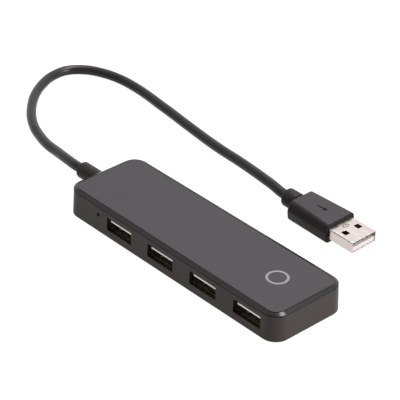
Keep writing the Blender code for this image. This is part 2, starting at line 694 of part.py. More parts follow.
def make_plug_contacts(frame, material):
    """Flat strips along the insert; the outer two reach further forward so that power mates first."""
    level = CONTACT_THICKNESS / 2
    for i, y in enumerate(CONTACT_X, 1):
        outer = i in (1, len(CONTACT_X))
        front = PLUG_CONTACT_FRONT if outer else PLUG_CONTACT_FRONT - PLUG_CONTACT_STAGGER
        path = [(front, level), (PLUG_INSERT_STEP_X + 0.3 * MM, level)]
        contact = flat_strip(f"plug_contact_{i}", path, CONTACT_THICKNESS, CONTACT_WIDTH, material)
        contact.rotation_euler = (math.radians(90), 0.0, 0.0)
        contact.location = (0.0, y, 0.0)
        contact.parent = frame


def make_plug_overmold(frame, material):
    """The grip: a soft-edged block, slightly narrower at the rear, with a round tail for the cable."""
    bm = bmesh.new()
    front = -PLUG_EXPOSED
    box_into(bm, (GRIP_REAR_X, -GRIP_HALF_WIDTH, -GRIP_HALF_HEIGHT),
             (front, GRIP_HALF_WIDTH, GRIP_HALF_HEIGHT))
    for vert in bm.verts:
        if vert.co.x < (front + GRIP_REAR_X) / 2:
            vert.co.y = math.copysign(GRIP_REAR_HALF_WIDTH, vert.co.y)
    bevel(bm, edges_along(bm, 0), GRIP_ROUNDING, 5)
    bevel(bm, rim_edges(bm, 0, GRIP_REAR_X), GRIP_END_ROUNDING, 3)
    grip = make_object("plug_overmold", bm, material)
    grip.parent = frame
    tip = -TAIL_TIP_X
    tail_profile = [(0.0, tip)] + arc(TAIL_RADIUS - RELIEF_ROUNDING, tip - RELIEF_ROUNDING, RELIEF_ROUNDING,
                                      90, 0, 3)
    tail_profile += [(TAIL_RADIUS, -GRIP_REAR_X - 2 * MM), (0.0, -GRIP_REAR_X - 2 * MM)]
    tail = turned("grip_tail", tail_profile)
    tail.rotation_euler = (0.0, math.radians(-90), 0.0)
    tail.parent = frame
    boolean(grip, tail, "UNION")
    gap = PLUG_POCKET_GAP
    pocket = box("grip_pocket", (-PLUG_SHELL_LENGTH - gap, -PLUG_SHELL_WIDTH / 2 - gap,
                                 -PLUG_SHELL_HEIGHT / 2 - gap),
                 (front + OVERCUT, PLUG_SHELL_WIDTH / 2 + gap, PLUG_SHELL_HEIGHT / 2 + gap))
    pocket.parent = frame
    boolean(grip, pocket)


def shade_round_pieces():
    """Smooth shading with crisp edges on every mesh piece."""
    for obj in parts.objects:
        if obj.type == "MESH" and obj.data.polygons:
            obj.data.shade_smooth()
            obj.data.set_sharp_from_angle(angle=math.radians(35))


def build_hub():
    case_plastic = make_material("case_plastic", (0.085, 0.078, 0.082), 0.45)
    white_plastic = make_material("white_plastic", (0.80, 0.79, 0.75), 0.5)
    port_metal = make_material("port_metal", (0.42, 0.41, 0.40), 0.35, 1.0)
    plug_metal = make_material("plug_metal", (0.80, 0.78, 0.76), 0.25, 1.0)
    gold = make_material("gold", (0.85, 0.62, 0.28), 0.3, 1.0)
    tinned = make_material("tinned", (0.70, 0.70, 0.68), 0.35, 1.0)
    soft_plastic = make_material("soft_plastic", (0.05, 0.047, 0.047), 0.6)

    make_bottom_case(case_plastic)
    make_top_cover(make_material("cover_plastic", (0.11, 0.10, 0.11), 0.4))
    make_circuit_board(make_material("board", (0.02, 0.14, 0.05), 0.5))
    make_hub_controller(make_material("chip_epoxy", (0.02, 0.02, 0.02), 0.55))
    make_crystal(tinned)
    make_capacitors(make_material("capacitor_can", (0.60, 0.61, 0.62), 0.3, 1.0))
    make_led(make_material("led_epoxy", (0.20, 0.45, 0.20), 0.15), tinned)
    for number, x in enumerate(port_places(), 1):
        make_port_shell(number, x, port_metal)
        make_port_insulator(number, x, white_plastic)
        make_port_contacts(number, x, gold)
    make_cable_strain_relief(soft_plastic)
    make_cable(make_material("cable_jacket", (0.035, 0.032, 0.032), 0.5))
    make_wires()
    frame = make_plug_frame()
    make_plug_shell(frame, plug_metal)
    make_plug_insulator(frame, white_plastic)
    make_plug_contacts(frame, gold)
    make_plug_overmold(frame, soft_plastic)
    shade_round_pieces()


remove_scene_objects()
parts = new_collection("usb_hub")
tools = new_collection("cutters")
build_hub()
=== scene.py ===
"""Looks of the four-port USB hub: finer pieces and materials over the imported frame.

Everything is in metres in the row's own frame: +X runs along the case away from the cable, the ports face -Y,
+Z is up, and the case stands on the plane z = 0.
"""
import math

import bmesh
import bpy
from mathutils import Matrix, Vector


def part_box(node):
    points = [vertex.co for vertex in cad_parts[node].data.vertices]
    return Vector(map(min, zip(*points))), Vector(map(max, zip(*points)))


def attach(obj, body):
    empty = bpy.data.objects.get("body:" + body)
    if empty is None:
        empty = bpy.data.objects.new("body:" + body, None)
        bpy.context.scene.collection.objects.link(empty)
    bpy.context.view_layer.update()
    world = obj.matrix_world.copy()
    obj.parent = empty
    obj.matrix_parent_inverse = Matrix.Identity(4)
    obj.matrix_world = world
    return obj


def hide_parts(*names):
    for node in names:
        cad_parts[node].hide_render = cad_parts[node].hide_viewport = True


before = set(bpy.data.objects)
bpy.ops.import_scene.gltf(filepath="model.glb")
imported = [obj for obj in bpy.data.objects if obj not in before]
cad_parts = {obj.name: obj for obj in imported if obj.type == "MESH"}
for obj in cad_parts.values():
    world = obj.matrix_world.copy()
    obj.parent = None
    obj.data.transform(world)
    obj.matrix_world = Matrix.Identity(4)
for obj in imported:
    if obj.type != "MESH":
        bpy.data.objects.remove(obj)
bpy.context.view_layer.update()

MM = 0.001
BODY = "root"

# ---- camera: angles in degrees, aim and distance measured from the row's origin ------------------------
VIEW_AZIMUTH = 47.01
VIEW_ELEVATION = 32.55
VIEW_ROLL = 1.41
VIEW_DISTANCE = 0.6985
AIM_RIGHT = -0.4 * MM
AIM_UP = 20.49 * MM
LENS_MM = 177.82
SENSOR_MM = 36.0

# ---- light ---------------------------------------------------------------------------------------------
DARK_SIDE = (0.574, -0.819, 0.0)
ROOM_LIGHT = 1.25
ROOM_DARK = 0.25
ROOM_FADE = 0.85
STRIP_POWER = 14.5
STRIP_SIZE = (1.0, 0.38)
STRIP_PLACE = (-0.05, 0.34, 1.0)
FILL_POWER = 17.5
FILL_SIZE = (0.7, 0.36)
FILL_PLACE = (1.0, 0.3, 0.5)
FILL_COLOR = (0.95, 0.935, 1.0)
FLOOR_TONE = 0.08
FLOOR_GLOW = 0.97
FLOOR_HALF_SIZE = 4.0
FLOOR_DROP = 0.2 * MM

# ---- case ----------------------------------------------------------------------------------------------
HALF_X, HALF_Y, TOP_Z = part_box("top_cover")[1]
WALL_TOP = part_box("bottom_case")[1].z
INK = 0.02 * MM
LID_TOP = TOP_Z - INK
CORNER = 5.4 * MM
CORNER_STEPS = 18
BASE_FLARE = 0.4 * MM
BASE_ROUNDING = 0.4 * MM
WALL = 1.5 * MM
FLOOR = 1.0 * MM
SEAM = 0.3 * MM
COVER_BOTTOM = WALL_TOP + SEAM
COVER_SIDE = 0.25 * MM
COVER_BEVEL = 1.25 * MM
LIP_GAP = 0.15 * MM
LIP_THICKNESS = 1.0 * MM
LIP_HEIGHT = 0.7 * MM
EDGE = 0.04 * MM
LAMP_HOLE_RADIUS = 0.7 * MM
NOTCH_RADIUS = 2.6 * MM
TAB_HALF_WIDTH = 2.4 * MM
SHARP_ANGLE = math.radians(38)

# How far a cutter reaches past what it cuts, and how far one for a hole in a wall reaches out and in.
OVERSHOOT = 1.0 * MM
HOLE_OUT = 2.0 * MM
HOLE_IN = 3.0 * MM

# ---- ports ---------------------------------------------------------------------------------------------
PORT_NUMBERS = (1, 2, 3, 4)
PORT_INNER_HEIGHT = 5.12 * MM
SHEET = 0.3 * MM
WINDOW_WIDTH = 13.3 * MM
WINDOW_HEIGHT = 5.1 * MM
WINDOW_CORNER = 0.35 * MM
WINDOW_LIP = 0.6 * MM
POCKET_GAP = 0.2 * MM
SHELL_CORNER = 0.55 * MM
SHELL_RIM_DEPTH = 0.5 * MM

# The tongue's top and bottom are heights above the middle of the socket's opening.
TONGUE_WIDTH = 11.1 * MM
TONGUE_BOTTOM = 0.35 * MM
TONGUE_TOP = 1.45 * MM
TONGUE_LIP = 0.6 * MM
TONGUE_NOSE = 0.65 * MM
BLOCK_DEPTH = 3.6 * MM
CONTACT_PLACES = (-3.5 * MM, -1.0 * MM, 1.0 * MM, 3.5 * MM)
GROOVE_HALF_WIDTH = 0.65 * MM
GROOVE_DEPTH = 0.45 * MM
SLOT_BELOW_TONGUE = (0.65 * MM, 0.05 * MM)
SPRING_WIDTH = 1.8 * MM
SPRING_LENGTH = 6.5 * MM
SPRING_RISE = 0.45 * MM
SPRING_SETBACK = 2.2 * MM
SPRING_SPREAD = 2.9 * MM
SPRING_SLOT_GAP = 0.25 * MM
SPRING_SLOT_END = 0.3 * MM
SPRING_SLOT_REACH = 0.6 * MM

# A spring's outline: the share of its length from its root, and the share of its rise there.
SPRING_PATH = ((0.0, 0.0), (0.25, 0.18), (0.55, 0.62), (0.75, 0.95), (0.85, 1.0), (0.95, 0.8), (1.0, 0.45))

# ---- cable ---------------------------------------------------------------------------------------------
CABLE_RADIUS = 1.95 * MM
CABLE_FINENESS = 260
CABLE_Z = 5.8 * MM
CURVE_SUBSTEPS = 24
MOUTH_RADIUS = CABLE_RADIUS + 0.12 * MM
MOUTH_DEPTH = 1.5 * MM
RELIEF_RADIUS = 3.25 * MM
RELIEF_NECK_RADIUS = 2.3 * MM
RELIEF_STANDOFF = 0.35 * MM
RELIEF_CHAMFER = 0.15 * MM
RELIEF_ROUNDING = 1.0 * MM

# ---- plug: X runs out of the shell from its front edge, Y across it, Z up from its middle --------------
PLUG_PLACE = Vector((34.7, 46.5, 4.25)) * MM
PLUG_YAW = math.radians(-0.5)
PLUG_ROLL = math.radians(1.5)
PLUG_SHELL_WIDTH = 12.0 * MM
PLUG_SHELL_HEIGHT = 4.5 * MM
PLUG_SHELL_LENGTH = 18.4 * MM
PLUG_SHELL_ROUNDING = 0.5 * MM
PLUG_EXPOSED = 11.9 * MM
PLUG_WINDOW_X = -6.2 * MM
PLUG_WINDOW_Y = 3.15 * MM
PLUG_WINDOW_HALF_SIZE = (1.25 * MM, 1.1 * MM)
PLUG_WINDOW_CORNER = 0.15 * MM
PLUG_SEAM_HALF_WIDTH = 0.06 * MM
PLUG_SEAM_DEPTH = 0.2 * MM
OVAL_X = -9.3 * MM
OVAL_HALF_SIZE = (0.45 * MM, 1.1 * MM)
OVAL_CORNER = 0.44 * MM
OVAL_WIDTH = 0.3 * MM
OVAL_DEPTH = 0.24 * MM

INSERT_FIT = 0.02 * MM
INSERT_FRONT_X = -0.4 * MM
INSERT_STEP_X = -12.4 * MM
INSERT_REAR_X = -17.8 * MM
INSERT_TOP_Z = -0.15 * MM
INSERT_GROOVE_X = (-12.0 * MM, -1.7 * MM)
INSERT_GROOVE_Z = -0.4 * MM

GRIP_HALF_WIDTH = 7.45 * MM
GRIP_REAR_HALF_WIDTH = 7.1 * MM
GRIP_HALF_HEIGHT = 4.0 * MM
GRIP_FLAT = 5.1 * MM
GRIP_REAR_FLAT = 4.1 * MM
GRIP_REAR_X = -32.3 * MM
GRIP_RIM = 0.5 * MM
GRIP_SHOULDER = 0.7 * MM
GRIP_TOP_ROUND = 2.2 * MM
GRIP_LOW_ROUND = 1.8 * MM
GRIP_WIDEST_Z = 0.6 * MM
GRIP_POCKET_GAP = 0.12 * MM
GRIP_POCKET_CORNER = 0.75 * MM
TAIL_RADIUS = 3.6 * MM
TAIL_ROUNDING = 1.0 * MM
TAIL_GROOVE = 0.45 * MM
TAIL_GROOVE_LENGTH = 0.8 * MM
TAIL_TIP_X = -39.5 * MM
ARROW_X = (-24.0 * MM, -20.4 * MM, -18.6 * MM)
ARROW_HALF_WIDTHS = (0.24 * MM, 1.15 * MM)
ARROW_DEPTH = 0.3 * MM

PLUG_TURN = Matrix.Rotation(PLUG_YAW, 4, "Z") @ Matrix.Rotation(PLUG_ROLL, 4, "X")
PLUG_FRAME = Matrix.Translation(PLUG_PLACE) @ PLUG_TURN

# The cable's route, from the strain relief's tip round the loop to the plug's tail, in metres.
CABLE_ROUTE = [Vector(point) for point in (
    (-0.0662, 0.0, 0.0058), (-0.0703, 0.0001, 0.0056), (-0.0771, 0.0013, 0.0048), (-0.0846, 0.003, 0.0036),
    (-0.0921, 0.0044, 0.0027), (-0.0992, 0.0065, 0.00215), (-0.1066, 0.0093, 0.00198),
    (-0.1139, 0.0135, 0.00196), (-0.1205, 0.0188, 0.00196), (-0.1264, 0.0249, 0.00196),
    (-0.131, 0.0317, 0.00196), (-0.1343, 0.0394, 0.00196), (-0.1344, 0.0476, 0.00196),
    (-0.1296, 0.0542, 0.00196), (-0.1221, 0.0581, 0.00196), (-0.1138, 0.0599, 0.00196),
    (-0.1053, 0.0601, 0.00196), (-0.0969, 0.0595, 0.00196), (-0.0884, 0.0584, 0.00196),
    (-0.08, 0.0574, 0.00196), (-0.0715, 0.0562, 0.00198), (-0.0629, 0.055, 0.00206),
    (-0.0545, 0.0538, 0.00225), (-0.046, 0.0527, 0.0026), (-0.0377, 0.0518, 0.0031),
    (-0.0293, 0.0506, 0.00365), (-0.0215, 0.0493, 0.00415), (-0.0137, 0.0481, 0.0044),
    (-0.0093, 0.04735, 0.0043), (-0.0048, 0.04685, 0.00425),
)]


# ---- camera and stage ----------------------------------------------------------------------------------
def view_axes():
    """The directions of the view's right, its up and back towards the camera, with the roll put in."""
    azimuth, elevation, roll = (math.radians(a) for a in (VIEW_AZIMUTH, VIEW_ELEVATION, VIEW_ROLL))
    back = Vector((math.sin(azimuth) * math.cos(elevation), -math.cos(azimuth) * math.cos(elevation),
                   math.sin(elevation)))
    right = Vector((math.cos(azimuth), math.sin(azimuth), 0.0))
    up = back.cross(right)
    return (right * math.cos(roll) + up * math.sin(roll), up * math.cos(roll) - right * math.sin(roll), back)


def make_camera():
    """The camera that the hub is seen by, aimed a little above the row's origin."""
    right, up, back = view_axes()
    camera = bpy.data.objects.new("camera", bpy.data.cameras.new("camera"))
    bpy.context.scene.collection.objects.link(camera)
    camera.data.lens = LENS_MM
    camera.data.sensor_width = SENSOR_MM
    camera.data.clip_start = 0.01
    camera.data.clip_end = 20.0
    place = right * AIM_RIGHT + up * AIM_UP + back * VIEW_DISTANCE
    camera.matrix_world = Matrix.Translation(place) @ Matrix((right, up, back)).transposed().to_4x4()
    bpy.context.scene.camera = camera


def make_softbox(name, place, size, power, turn=(0.0, 0.0, 0.0), color=(1.0, 1.0, 1.0)):
    """An area light. Unturned it faces straight down, with its first size along X."""
    light = bpy.data.lights.new(name, "AREA")
    light.shape = "RECTANGLE"
    light.size, light.size_y = size
    light.energy = power
    light.color = color
    lamp = bpy.data.objects.new(name, light)
    bpy.context.scene.collection.objects.link(lamp)
    lamp.location = place
    lamp.rotation_euler = turn


def make_surround():
    """A pale room that is brightest behind the hub and darkest in front of it."""
    world = bpy.data.worlds.new("studio")
    world.use_nodes = True
    nodes = world.node_tree.nodes
    links = world.node_tree.links
    direction = nodes.new("ShaderNodeTexCoord").outputs["Generated"]
    facing = nodes.new("ShaderNodeVectorMath")
    facing.operation = "DOT_PRODUCT"
    facing.inputs[1].default_value = DARK_SIDE
    links.new(direction, facing.inputs[0])
    fade = nodes.new("ShaderNodeMapRange")
    for socket, number in (("From Min", -ROOM_FADE), ("From Max", ROOM_FADE),
                           ("To Min", ROOM_LIGHT), ("To Max", ROOM_DARK)):
        fade.inputs[socket].default_value = number
    links.new(facing.outputs["Value"], fade.inputs["Value"])
    links.new(fade.outputs["Result"], nodes["Background"].inputs["Strength"])
    nodes["Background"].inputs["Color"].default_value = (1.0, 1.0, 1.0, 1.0)
    bpy.context.scene.world = world


def make_stage():
    """The room, a long light overhead, a fill from the right and a white table."""
    make_surround()
    bpy.context.scene.view_settings.view_transform = "Standard"
    make_softbox("overhead_strip", STRIP_PLACE, STRIP_SIZE, STRIP_POWER)
    towards_hub = (-Vector(FILL_PLACE)).to_track_quat("-Z", "Y").to_euler()
    make_softbox("right_fill", FILL_PLACE, FILL_SIZE, FILL_POWER, towards_hub, FILL_COLOR)
    bm = bmesh.new()
    bmesh.ops.create_grid(bm, x_segments=1, y_segments=1, size=FLOOR_HALF_SIZE)
    floor = add_piece("floor", bm, floor_material())
    floor.location.z = -FLOOR_DROP


# ---- materials -----------------------------------------------------------------------------------------
class Surface:
    """A Principled material built up from noise in the object's own coordinates."""

    def __init__(self, name, roughness, metallic=0.0, **sockets):
        self.material = bpy.data.materials.new(name)
        self.material.use_nodes = True
        self.nodes = self.material.node_tree.nodes
        self.shader = self.nodes["Principled BSDF"]
        self.shader.inputs["Roughness"].default_value = roughness
        self.shader.inputs["Metallic"].default_value = metallic
        for socket, value in sockets.items():
            self.shader.inputs[socket.replace("_", " ")].default_value = value
        self.coordinates = self.add("ShaderNodeTexCoord").outputs["Object"]
        self.bump = None

    def add(self, kind, **settings):
        node = self.nodes.new(kind)
        for key, value in settings.items():
            setattr(node, key, value)
        return node

    def link(self, source, target):
        self.material.node_tree.links.new(source, target)

    def stretched(self, scale):
        """The coordinates, scaled along each axis: a small factor draws the pattern out along that axis."""
        mapping = self.add("ShaderNodeMapping")
        mapping.inputs["Scale"].default_value = scale
        self.link(self.coordinates, mapping.inputs["Vector"])
        return mapping.outputs["Vector"]

    def noise(self, size, detail=2.0, stretch=None):
        """Noise whose blotches are about this size in metres, as a value round 0.5."""
        node = self.add("ShaderNodeTexNoise")
        node.inputs["Scale"].default_value = 1.0 / size
        node.inputs["Detail"].default_value = detail
        self.link(self.stretched(stretch) if stretch else self.coordinates, node.inputs["Vector"])
        return node.outputs["Fac"]

    def ramp(self, value, low, high, colors):
        """Colours spread over a range of a value."""
        node = self.add("ShaderNodeValToRGB")
        node.color_ramp.elements[0].position = low
        node.color_ramp.elements[1].position = high
        node.color_ramp.elements[0].color = (*colors[0], 1.0)
        node.color_ramp.elements[1].color = (*colors[1], 1.0)
        self.link(value, node.inputs["Fac"])
        return node.outputs["Color"]

    def mixed(self, factor, first, second):
        """Fade from one colour to a second one, which may also be three plain numbers."""
        node = self.add("ShaderNodeMix", data_type="RGBA")
        self.link(factor, node.inputs["Factor"])
        self.link(first, node.inputs["A"])
        if isinstance(second, tuple):
            node.inputs["B"].default_value = (*second, 1.0)
        else:
            self.link(second, node.inputs["B"])
        return node.outputs["Result"]

    def spread(self, value, low, high, low_out, high_out):
        """Map a value's range onto another range."""
        node = self.add("ShaderNodeMapRange")
        sockets = ("From Min", "From Max", "To Min", "To Max")
        for socket, number in zip(sockets, (low, high, low_out, high_out)):
            node.inputs[socket].default_value = number
        self.link(value, node.inputs["Value"])
        return node.outputs["Result"]

    def color(self, source):
        self.link(source, self.shader.inputs["Base Color"])

    def roughness(self, source):
        self.link(source, self.shader.inputs["Roughness"])

    def raise_by(self, value, height):
        """Add a bump of this height in metres on top of the ones before it."""
        node = self.add("ShaderNodeBump")
        node.inputs["Distance"].default_value = height
        node.inputs["Strength"].default_value = 1.0
        self.link(value, node.inputs["Height"])
        if self.bump is not None:
            self.link(self.bump, node.inputs["Normal"])
        self.bump = node.outputs["Normal"]
        self.link(self.bump, self.shader.inputs["Normal"])


# Each plastic's colour, roughness, size and height of its grain, specular level and change of tone.
PLASTICS = {
    "case_satin_plastic": ((0.0262, 0.0195, 0.0180), 0.46, 0.25 * MM, 0.006 * MM, 0.2, 0.08),
    "lid_satin_plastic": ((0.0262, 0.0217, 0.0247), 0.42, 0.22 * MM, 0.004 * MM, 0.2, 0.05),
    # The lid's plastic, polished, with a darker colour as painted shade and reflection; the lid's groove and
    # sides take it too.
    "lid_polished_bevel_shaded": ((0.006, 0.0048, 0.0046), 0.2, 0.6 * MM, 0.001 * MM, 0.4, 0.08),
    "white_nylon": ((0.80, 0.78, 0.74), 0.42, 0.3 * MM, 0.004 * MM, 0.5, 0.04),
    # The plug's insert: the same white nylon painted darker as shade inside the shell.
    "insert_nylon_shaded": ((0.44, 0.40, 0.385), 0.42, 0.3 * MM, 0.004 * MM, 0.5, 0.04),
    "soft_pvc": ((0.0222, 0.0180, 0.0202), 0.42, 0.3 * MM, 0.010 * MM, 0.2, 0.08),
    # A polished copy of the grip's plastic with a darker colour as painted shade on the grip's sides; the
    # strain relief uses it too.
    "soft_pvc_polished_shaded": ((0.0185, 0.0145, 0.0138), 0.40, 0.3 * MM, 0.008 * MM, 0.1, 0.08),
    # Painted shade: the grip's forward faces and the arrow's recess.
    "soft_pvc_painted_shade": ((0.010, 0.008, 0.008), 0.6, 0.3 * MM, 0.010 * MM, 0.1, 0.08),
    "ring_ink": ((0.13, 0.125, 0.13), 0.5, 0.3 * MM, 0.003 * MM, 0.5, 0.08),
    "chip_epoxy": ((0.014, 0.014, 0.015), 0.6, 0.1 * MM, 0.008 * MM, 0.5, 0.08),
}
WIRE_COLORS = (("red", (0.45, 0.015, 0.012)), ("white", (0.72, 0.70, 0.66)),
               ("green", (0.02, 0.22, 0.06)), ("black", (0.015, 0.015, 0.015)))
TARNISH = (0.45, 0.40, 0.36)

# Draw lines run along the axis with the small factor: along Y on a socket, upright on a capacitor's can.
ALONG_SOCKET = (1.0, 0.06, 1.0)
ALONG_CAPACITOR = (1.0, 1.0, 0.1)


def shade(color, factor):
    """A colour made darker or lighter by a factor."""
    return tuple(min(c * factor, 1.0) for c in color)


def floor_material():
    """A translucent white table, lit from below so that it takes no shadow."""
    surface = Surface("light_table", 0.9, Specular_IOR_Level=0.1, Emission_Strength=FLOOR_GLOW)
    sheet = (FLOOR_TONE, FLOOR_TONE, FLOOR_TONE)
    surface.color(surface.ramp(surface.noise(4 * MM), 0.3, 0.7, (shade(sheet, 0.99), sheet)))
    return surface.material


def moulded_plastic(name, color, roughness, grain, grain_height, specular=0.5, variation=0.08):
    """Injection-moulded plastic: fine spark-eroded grain, soft blotches of tone, slight changes of polish."""
    surface = Surface(name, roughness, Specular_IOR_Level=specular)
    cloud = surface.noise(9 * MM, detail=3.0)
    speckle = surface.noise(grain, detail=1.0)
    tones = (shade(color, 1 - variation), shade(color, 1 + variation))
    broad = surface.ramp(cloud, 0.3, 0.7, tones)
    fine = surface.ramp(speckle, 0.25, 0.75, tones)
    surface.color(surface.mixed(surface.spread(cloud, 0.2, 0.8, 0.35, 0.65), broad, fine))
    surface.roughness(surface.spread(surface.noise(3 * MM, detail=4.0), 0.3, 0.7, roughness * 0.92,
                                     min(roughness * 1.08, 1.0)))
    surface.raise_by(speckle, grain_height)
    return surface.material


def plated_metal(name, color, roughness, stretch=(0.05, 1.0, 1.0)):
    """Rolled and plated sheet: fine draw lines along it and faint stains of tarnish."""
    surface = Surface(name, roughness, metallic=1.0)
    stains = surface.noise(5 * MM, detail=4.0)
    lines = surface.noise(0.12 * MM, detail=2.0, stretch=stretch)
    tone = surface.ramp(lines, 0.3, 0.7, (shade(color, 0.93), color))
    surface.color(surface.mixed(surface.spread(stains, 0.55, 0.8, 0.0, 0.25), tone, TARNISH))
    surface.roughness(surface.spread(surface.noise(1.2 * MM, detail=5.0, stretch=stretch), 0.3, 0.7,
                                     roughness * 0.8, roughness * 1.25))
    surface.raise_by(lines, 0.002 * MM)
    return surface.material


def gold_plating():
    """Gold flashed over nickel, worn paler in places."""
    surface = Surface("gold_plating", 0.22, metallic=1.0)
    worn = surface.noise(0.5 * MM, detail=4.0)
    surface.color(surface.ramp(worn, 0.3, 0.75, ((0.92, 0.68, 0.30), (0.80, 0.55, 0.24))))
    surface.roughness(surface.spread(worn, 0.3, 0.7, 0.16, 0.3))
    surface.raise_by(surface.noise(0.08 * MM, stretch=(1.0, 0.1, 1.0)), 0.001 * MM)
    return surface.material


def cable_jacket():
    """Extruded PVC: satin, with a slightly uneven skin."""
    color = (0.0128, 0.0102, 0.0108)
    surface = Surface("cable_jacket", 0.30, Specular_IOR_Level=0.2)
    skin = surface.noise(1.6 * MM, detail=4.0)
    surface.color(surface.ramp(skin, 0.3, 0.7, (shade(color, 0.85), shade(color, 1.2))))
    surface.roughness(surface.spread(surface.noise(6 * MM, detail=3.0), 0.3, 0.7, 0.25, 0.35))
    surface.raise_by(skin, 0.003 * MM)
    surface.raise_by(surface.noise(0.15 * MM), 0.002 * MM)
    return surface.material


def board_material():
    """Green solder mask over copper: broad pours with paler lines between them."""
    surface = Surface("solder_mask", 0.32)
    weave = surface.add("ShaderNodeTexBrick", offset=0.5, squash=1.0)
    weave.inputs["Scale"].default_value = 1.0 / (6 * MM)
    weave.inputs["Mortar Size"].default_value = 0.035
    weave.inputs["Color1"].default_value = (0.010, 0.105, 0.040, 1.0)
    weave.inputs["Color2"].default_value = (0.012, 0.130, 0.050, 1.0)
    weave.inputs["Mortar"].default_value = (0.030, 0.230, 0.090, 1.0)
    surface.link(surface.coordinates, weave.inputs["Vector"])
    cloud = surface.noise(7 * MM, detail=4.0)
    dark = surface.ramp(cloud, 0.0, 1.0, ((0.006, 0.070, 0.028), (0.010, 0.100, 0.040)))
    surface.color(surface.mixed(surface.spread(cloud, 0.45, 0.6, 0.1, 0.6), weave.outputs["Color"], dark))
    surface.raise_by(weave.outputs["Fac"], 0.03 * MM)
    return surface.material


def lamp_epoxy():
    """Clear, faintly green epoxy."""
    surface = Surface("lamp_epoxy", 0.08, Transmission_Weight=0.7, IOR=1.53)
    surface.color(surface.ramp(surface.noise(0.8 * MM, detail=3.0), 0.3, 0.7,
                               ((0.45, 0.62, 0.45), (0.62, 0.78, 0.60))))
    surface.raise_by(surface.noise(0.3 * MM), 0.004 * MM)
    return surface.material


# ---- shape helpers -------------------------------------------------------------------------------------
def shade_crisply(mesh):
    """Smooth shading, apart from edges that are sharper than the set angle."""
    mesh.shade_smooth()
    mesh.set_sharp_from_angle(angle=SHARP_ANGLE)


def add_piece(name, bm, material=None):
    """Turn a bmesh into a smooth-shaded piece with crisp edges."""
    mesh = bpy.data.meshes.new(name)
    bmesh.ops.recalc_face_normals(bm, faces=bm.faces)
    bm.to_mesh(mesh)
    bm.free()
    piece = bpy.data.objects.new(name, mesh)
    bpy.context.scene.collection.objects.link(piece)
    if material is not None:
        mesh.materials.append(material)
    shade_crisply(mesh)
    return piece


def bake(piece, shade=True):
    """Apply a piece's modifiers and remove the cutters that they used."""
    cutters = [m.object for m in piece.modifiers if m.type == "BOOLEAN"]
    bpy.context.view_layer.update()
    depsgraph = bpy.context.evaluated_depsgraph_get()
    mesh = bpy.data.meshes.new_from_object(piece.evaluated_get(depsgraph))
    piece.modifiers.clear()
    piece.data = mesh
    for cutter in cutters:
        bpy.data.objects.remove(cutter, do_unlink=True)
    if shade:
        shade_crisply(mesh)


def cut(piece, cutter, operation="DIFFERENCE"):
    """Line up a Boolean with a cutter, to be carried out by bake()."""
    modifier = piece.modifiers.new(cutter.name, "BOOLEAN")
    modifier.operation = operation
    modifier.object = cutter
    modifier.solver = "EXACT"


def soften(piece, width, segments=2, angle=40):
    """Round the sharp edges of a piece, and let its large flat faces set the shading round them."""
    sharp = piece.data.attributes.get("sharp_edge")
    if sharp is not None:
        piece.data.attributes.remove(sharp)
    edges = piece.modifiers.new("edges", "BEVEL")
    edges.width = width
    edges.segments = segments
    edges.limit_method = "ANGLE"
    edges.angle_limit = math.radians(angle)
    normals = piece.modifiers.new("normals", "WEIGHTED_NORMAL")
    normals.weight = 100
    bake(piece, shade=False)


def weigh_normals(piece):
    """Let the large flat faces of a lofted piece set the shading along their edges."""
    normals = piece.modifiers.new("normals", "WEIGHTED_NORMAL")
    normals.weight = 100
    normals.keep_sharp = True
    bake(piece, shade=False)


def rounded_rectangle(half_x, half_y, radius, steps=CORNER_STEPS):
    """Points round a rectangle with round corners, anticlockwise."""
    points = []
    for corner, (side_x, side_y) in enumerate(((1, -1), (1, 1), (-1, 1), (-1, -1))):
        for i in range(steps + 1):
            angle = math.radians(90 * (corner - 1 + i / steps))
            points.append((side_x * (half_x - radius) + radius * math.cos(angle),
                           side_y * (half_y - radius) + radius * math.sin(angle)))
    return points


def loft(bm, rings, close=False):
    """Skin a row of rings that have the same number of points, closed into a loop or capped at both ends."""
    rows = [[bm.verts.new(point) for point in ring] for ring in rings]
    pairs = list(zip(rows, rows[1:]))
    if close:
        pairs.append((rows[-1], rows[0]))
    for lower, upper in pairs:
        for i, corner in enumerate(lower):
            j = (i + 1) % len(lower)
            bm.faces.new((corner, lower[j], upper[j], upper[i]))
    if not close:
        bm.faces.new(rows[0][::-1])
        bm.faces.new(rows[-1])


def plan_ring(offset, z):
    """A level outline of the case, moved out from its nominal side by an offset."""
    return [(x, y, z) for x, y in rounded_rectangle(HALF_X + offset, HALF_Y + offset, CORNER + offset)]


def arc_offsets(radius, start, stop, steps):
    """Points round a quarter or so of a circle as (cosine, sine) lengths."""
    angles = [math.radians(start + (stop - start) * i / steps) for i in range(steps + 1)]
    return [(radius * math.cos(a), radius * math.sin(a)) for a in angles]


def box_into(bm, low, high):
    """Add a box between two corners to a bmesh."""
    size = [high[i] - low[i] for i in range(3)]
    centre = [(high[i] + low[i]) / 2 for i in range(3)]
    bmesh.ops.create_cube(bm, size=1.0, matrix=Matrix.Translation(centre) @ Matrix.Diagonal((*size, 1.0)))


def box_cutter(name, low, high):
    """A box between two corners, used to cut or to add."""
    bm = bmesh.new()
    box_into(bm, low, high)
    return add_piece(name, bm)


def round_cutter(name, start, end, radius, steps=32):
    """A round bar between two points, used to cut a hole."""
    bm = bmesh.new()
    axis = Vector(end) - Vector(start)
    turn = axis.to_track_quat("Z", "Y").to_matrix().to_4x4()
    place = Matrix.Translation((Vector(start) + Vector(end)) / 2) @ turn
    bmesh.ops.create_cone(bm, cap_ends=True, segments=steps, radius1=radius, radius2=radius,
                          depth=axis.length, matrix=place)
    return add_piece(name, bm)


def rounded_prism(bm, centre, half_x, half_z, radius, y_low, y_high, steps=5):
    """A prism along Y whose section in X and Z is a rounded rectangle."""
    section = rounded_rectangle(half_x, half_z, radius, steps)
    rings = [[(centre[0] + x, y, centre[1] + z) for x, z in section] for y in (y_low, y_high)]
    loft(bm, rings)


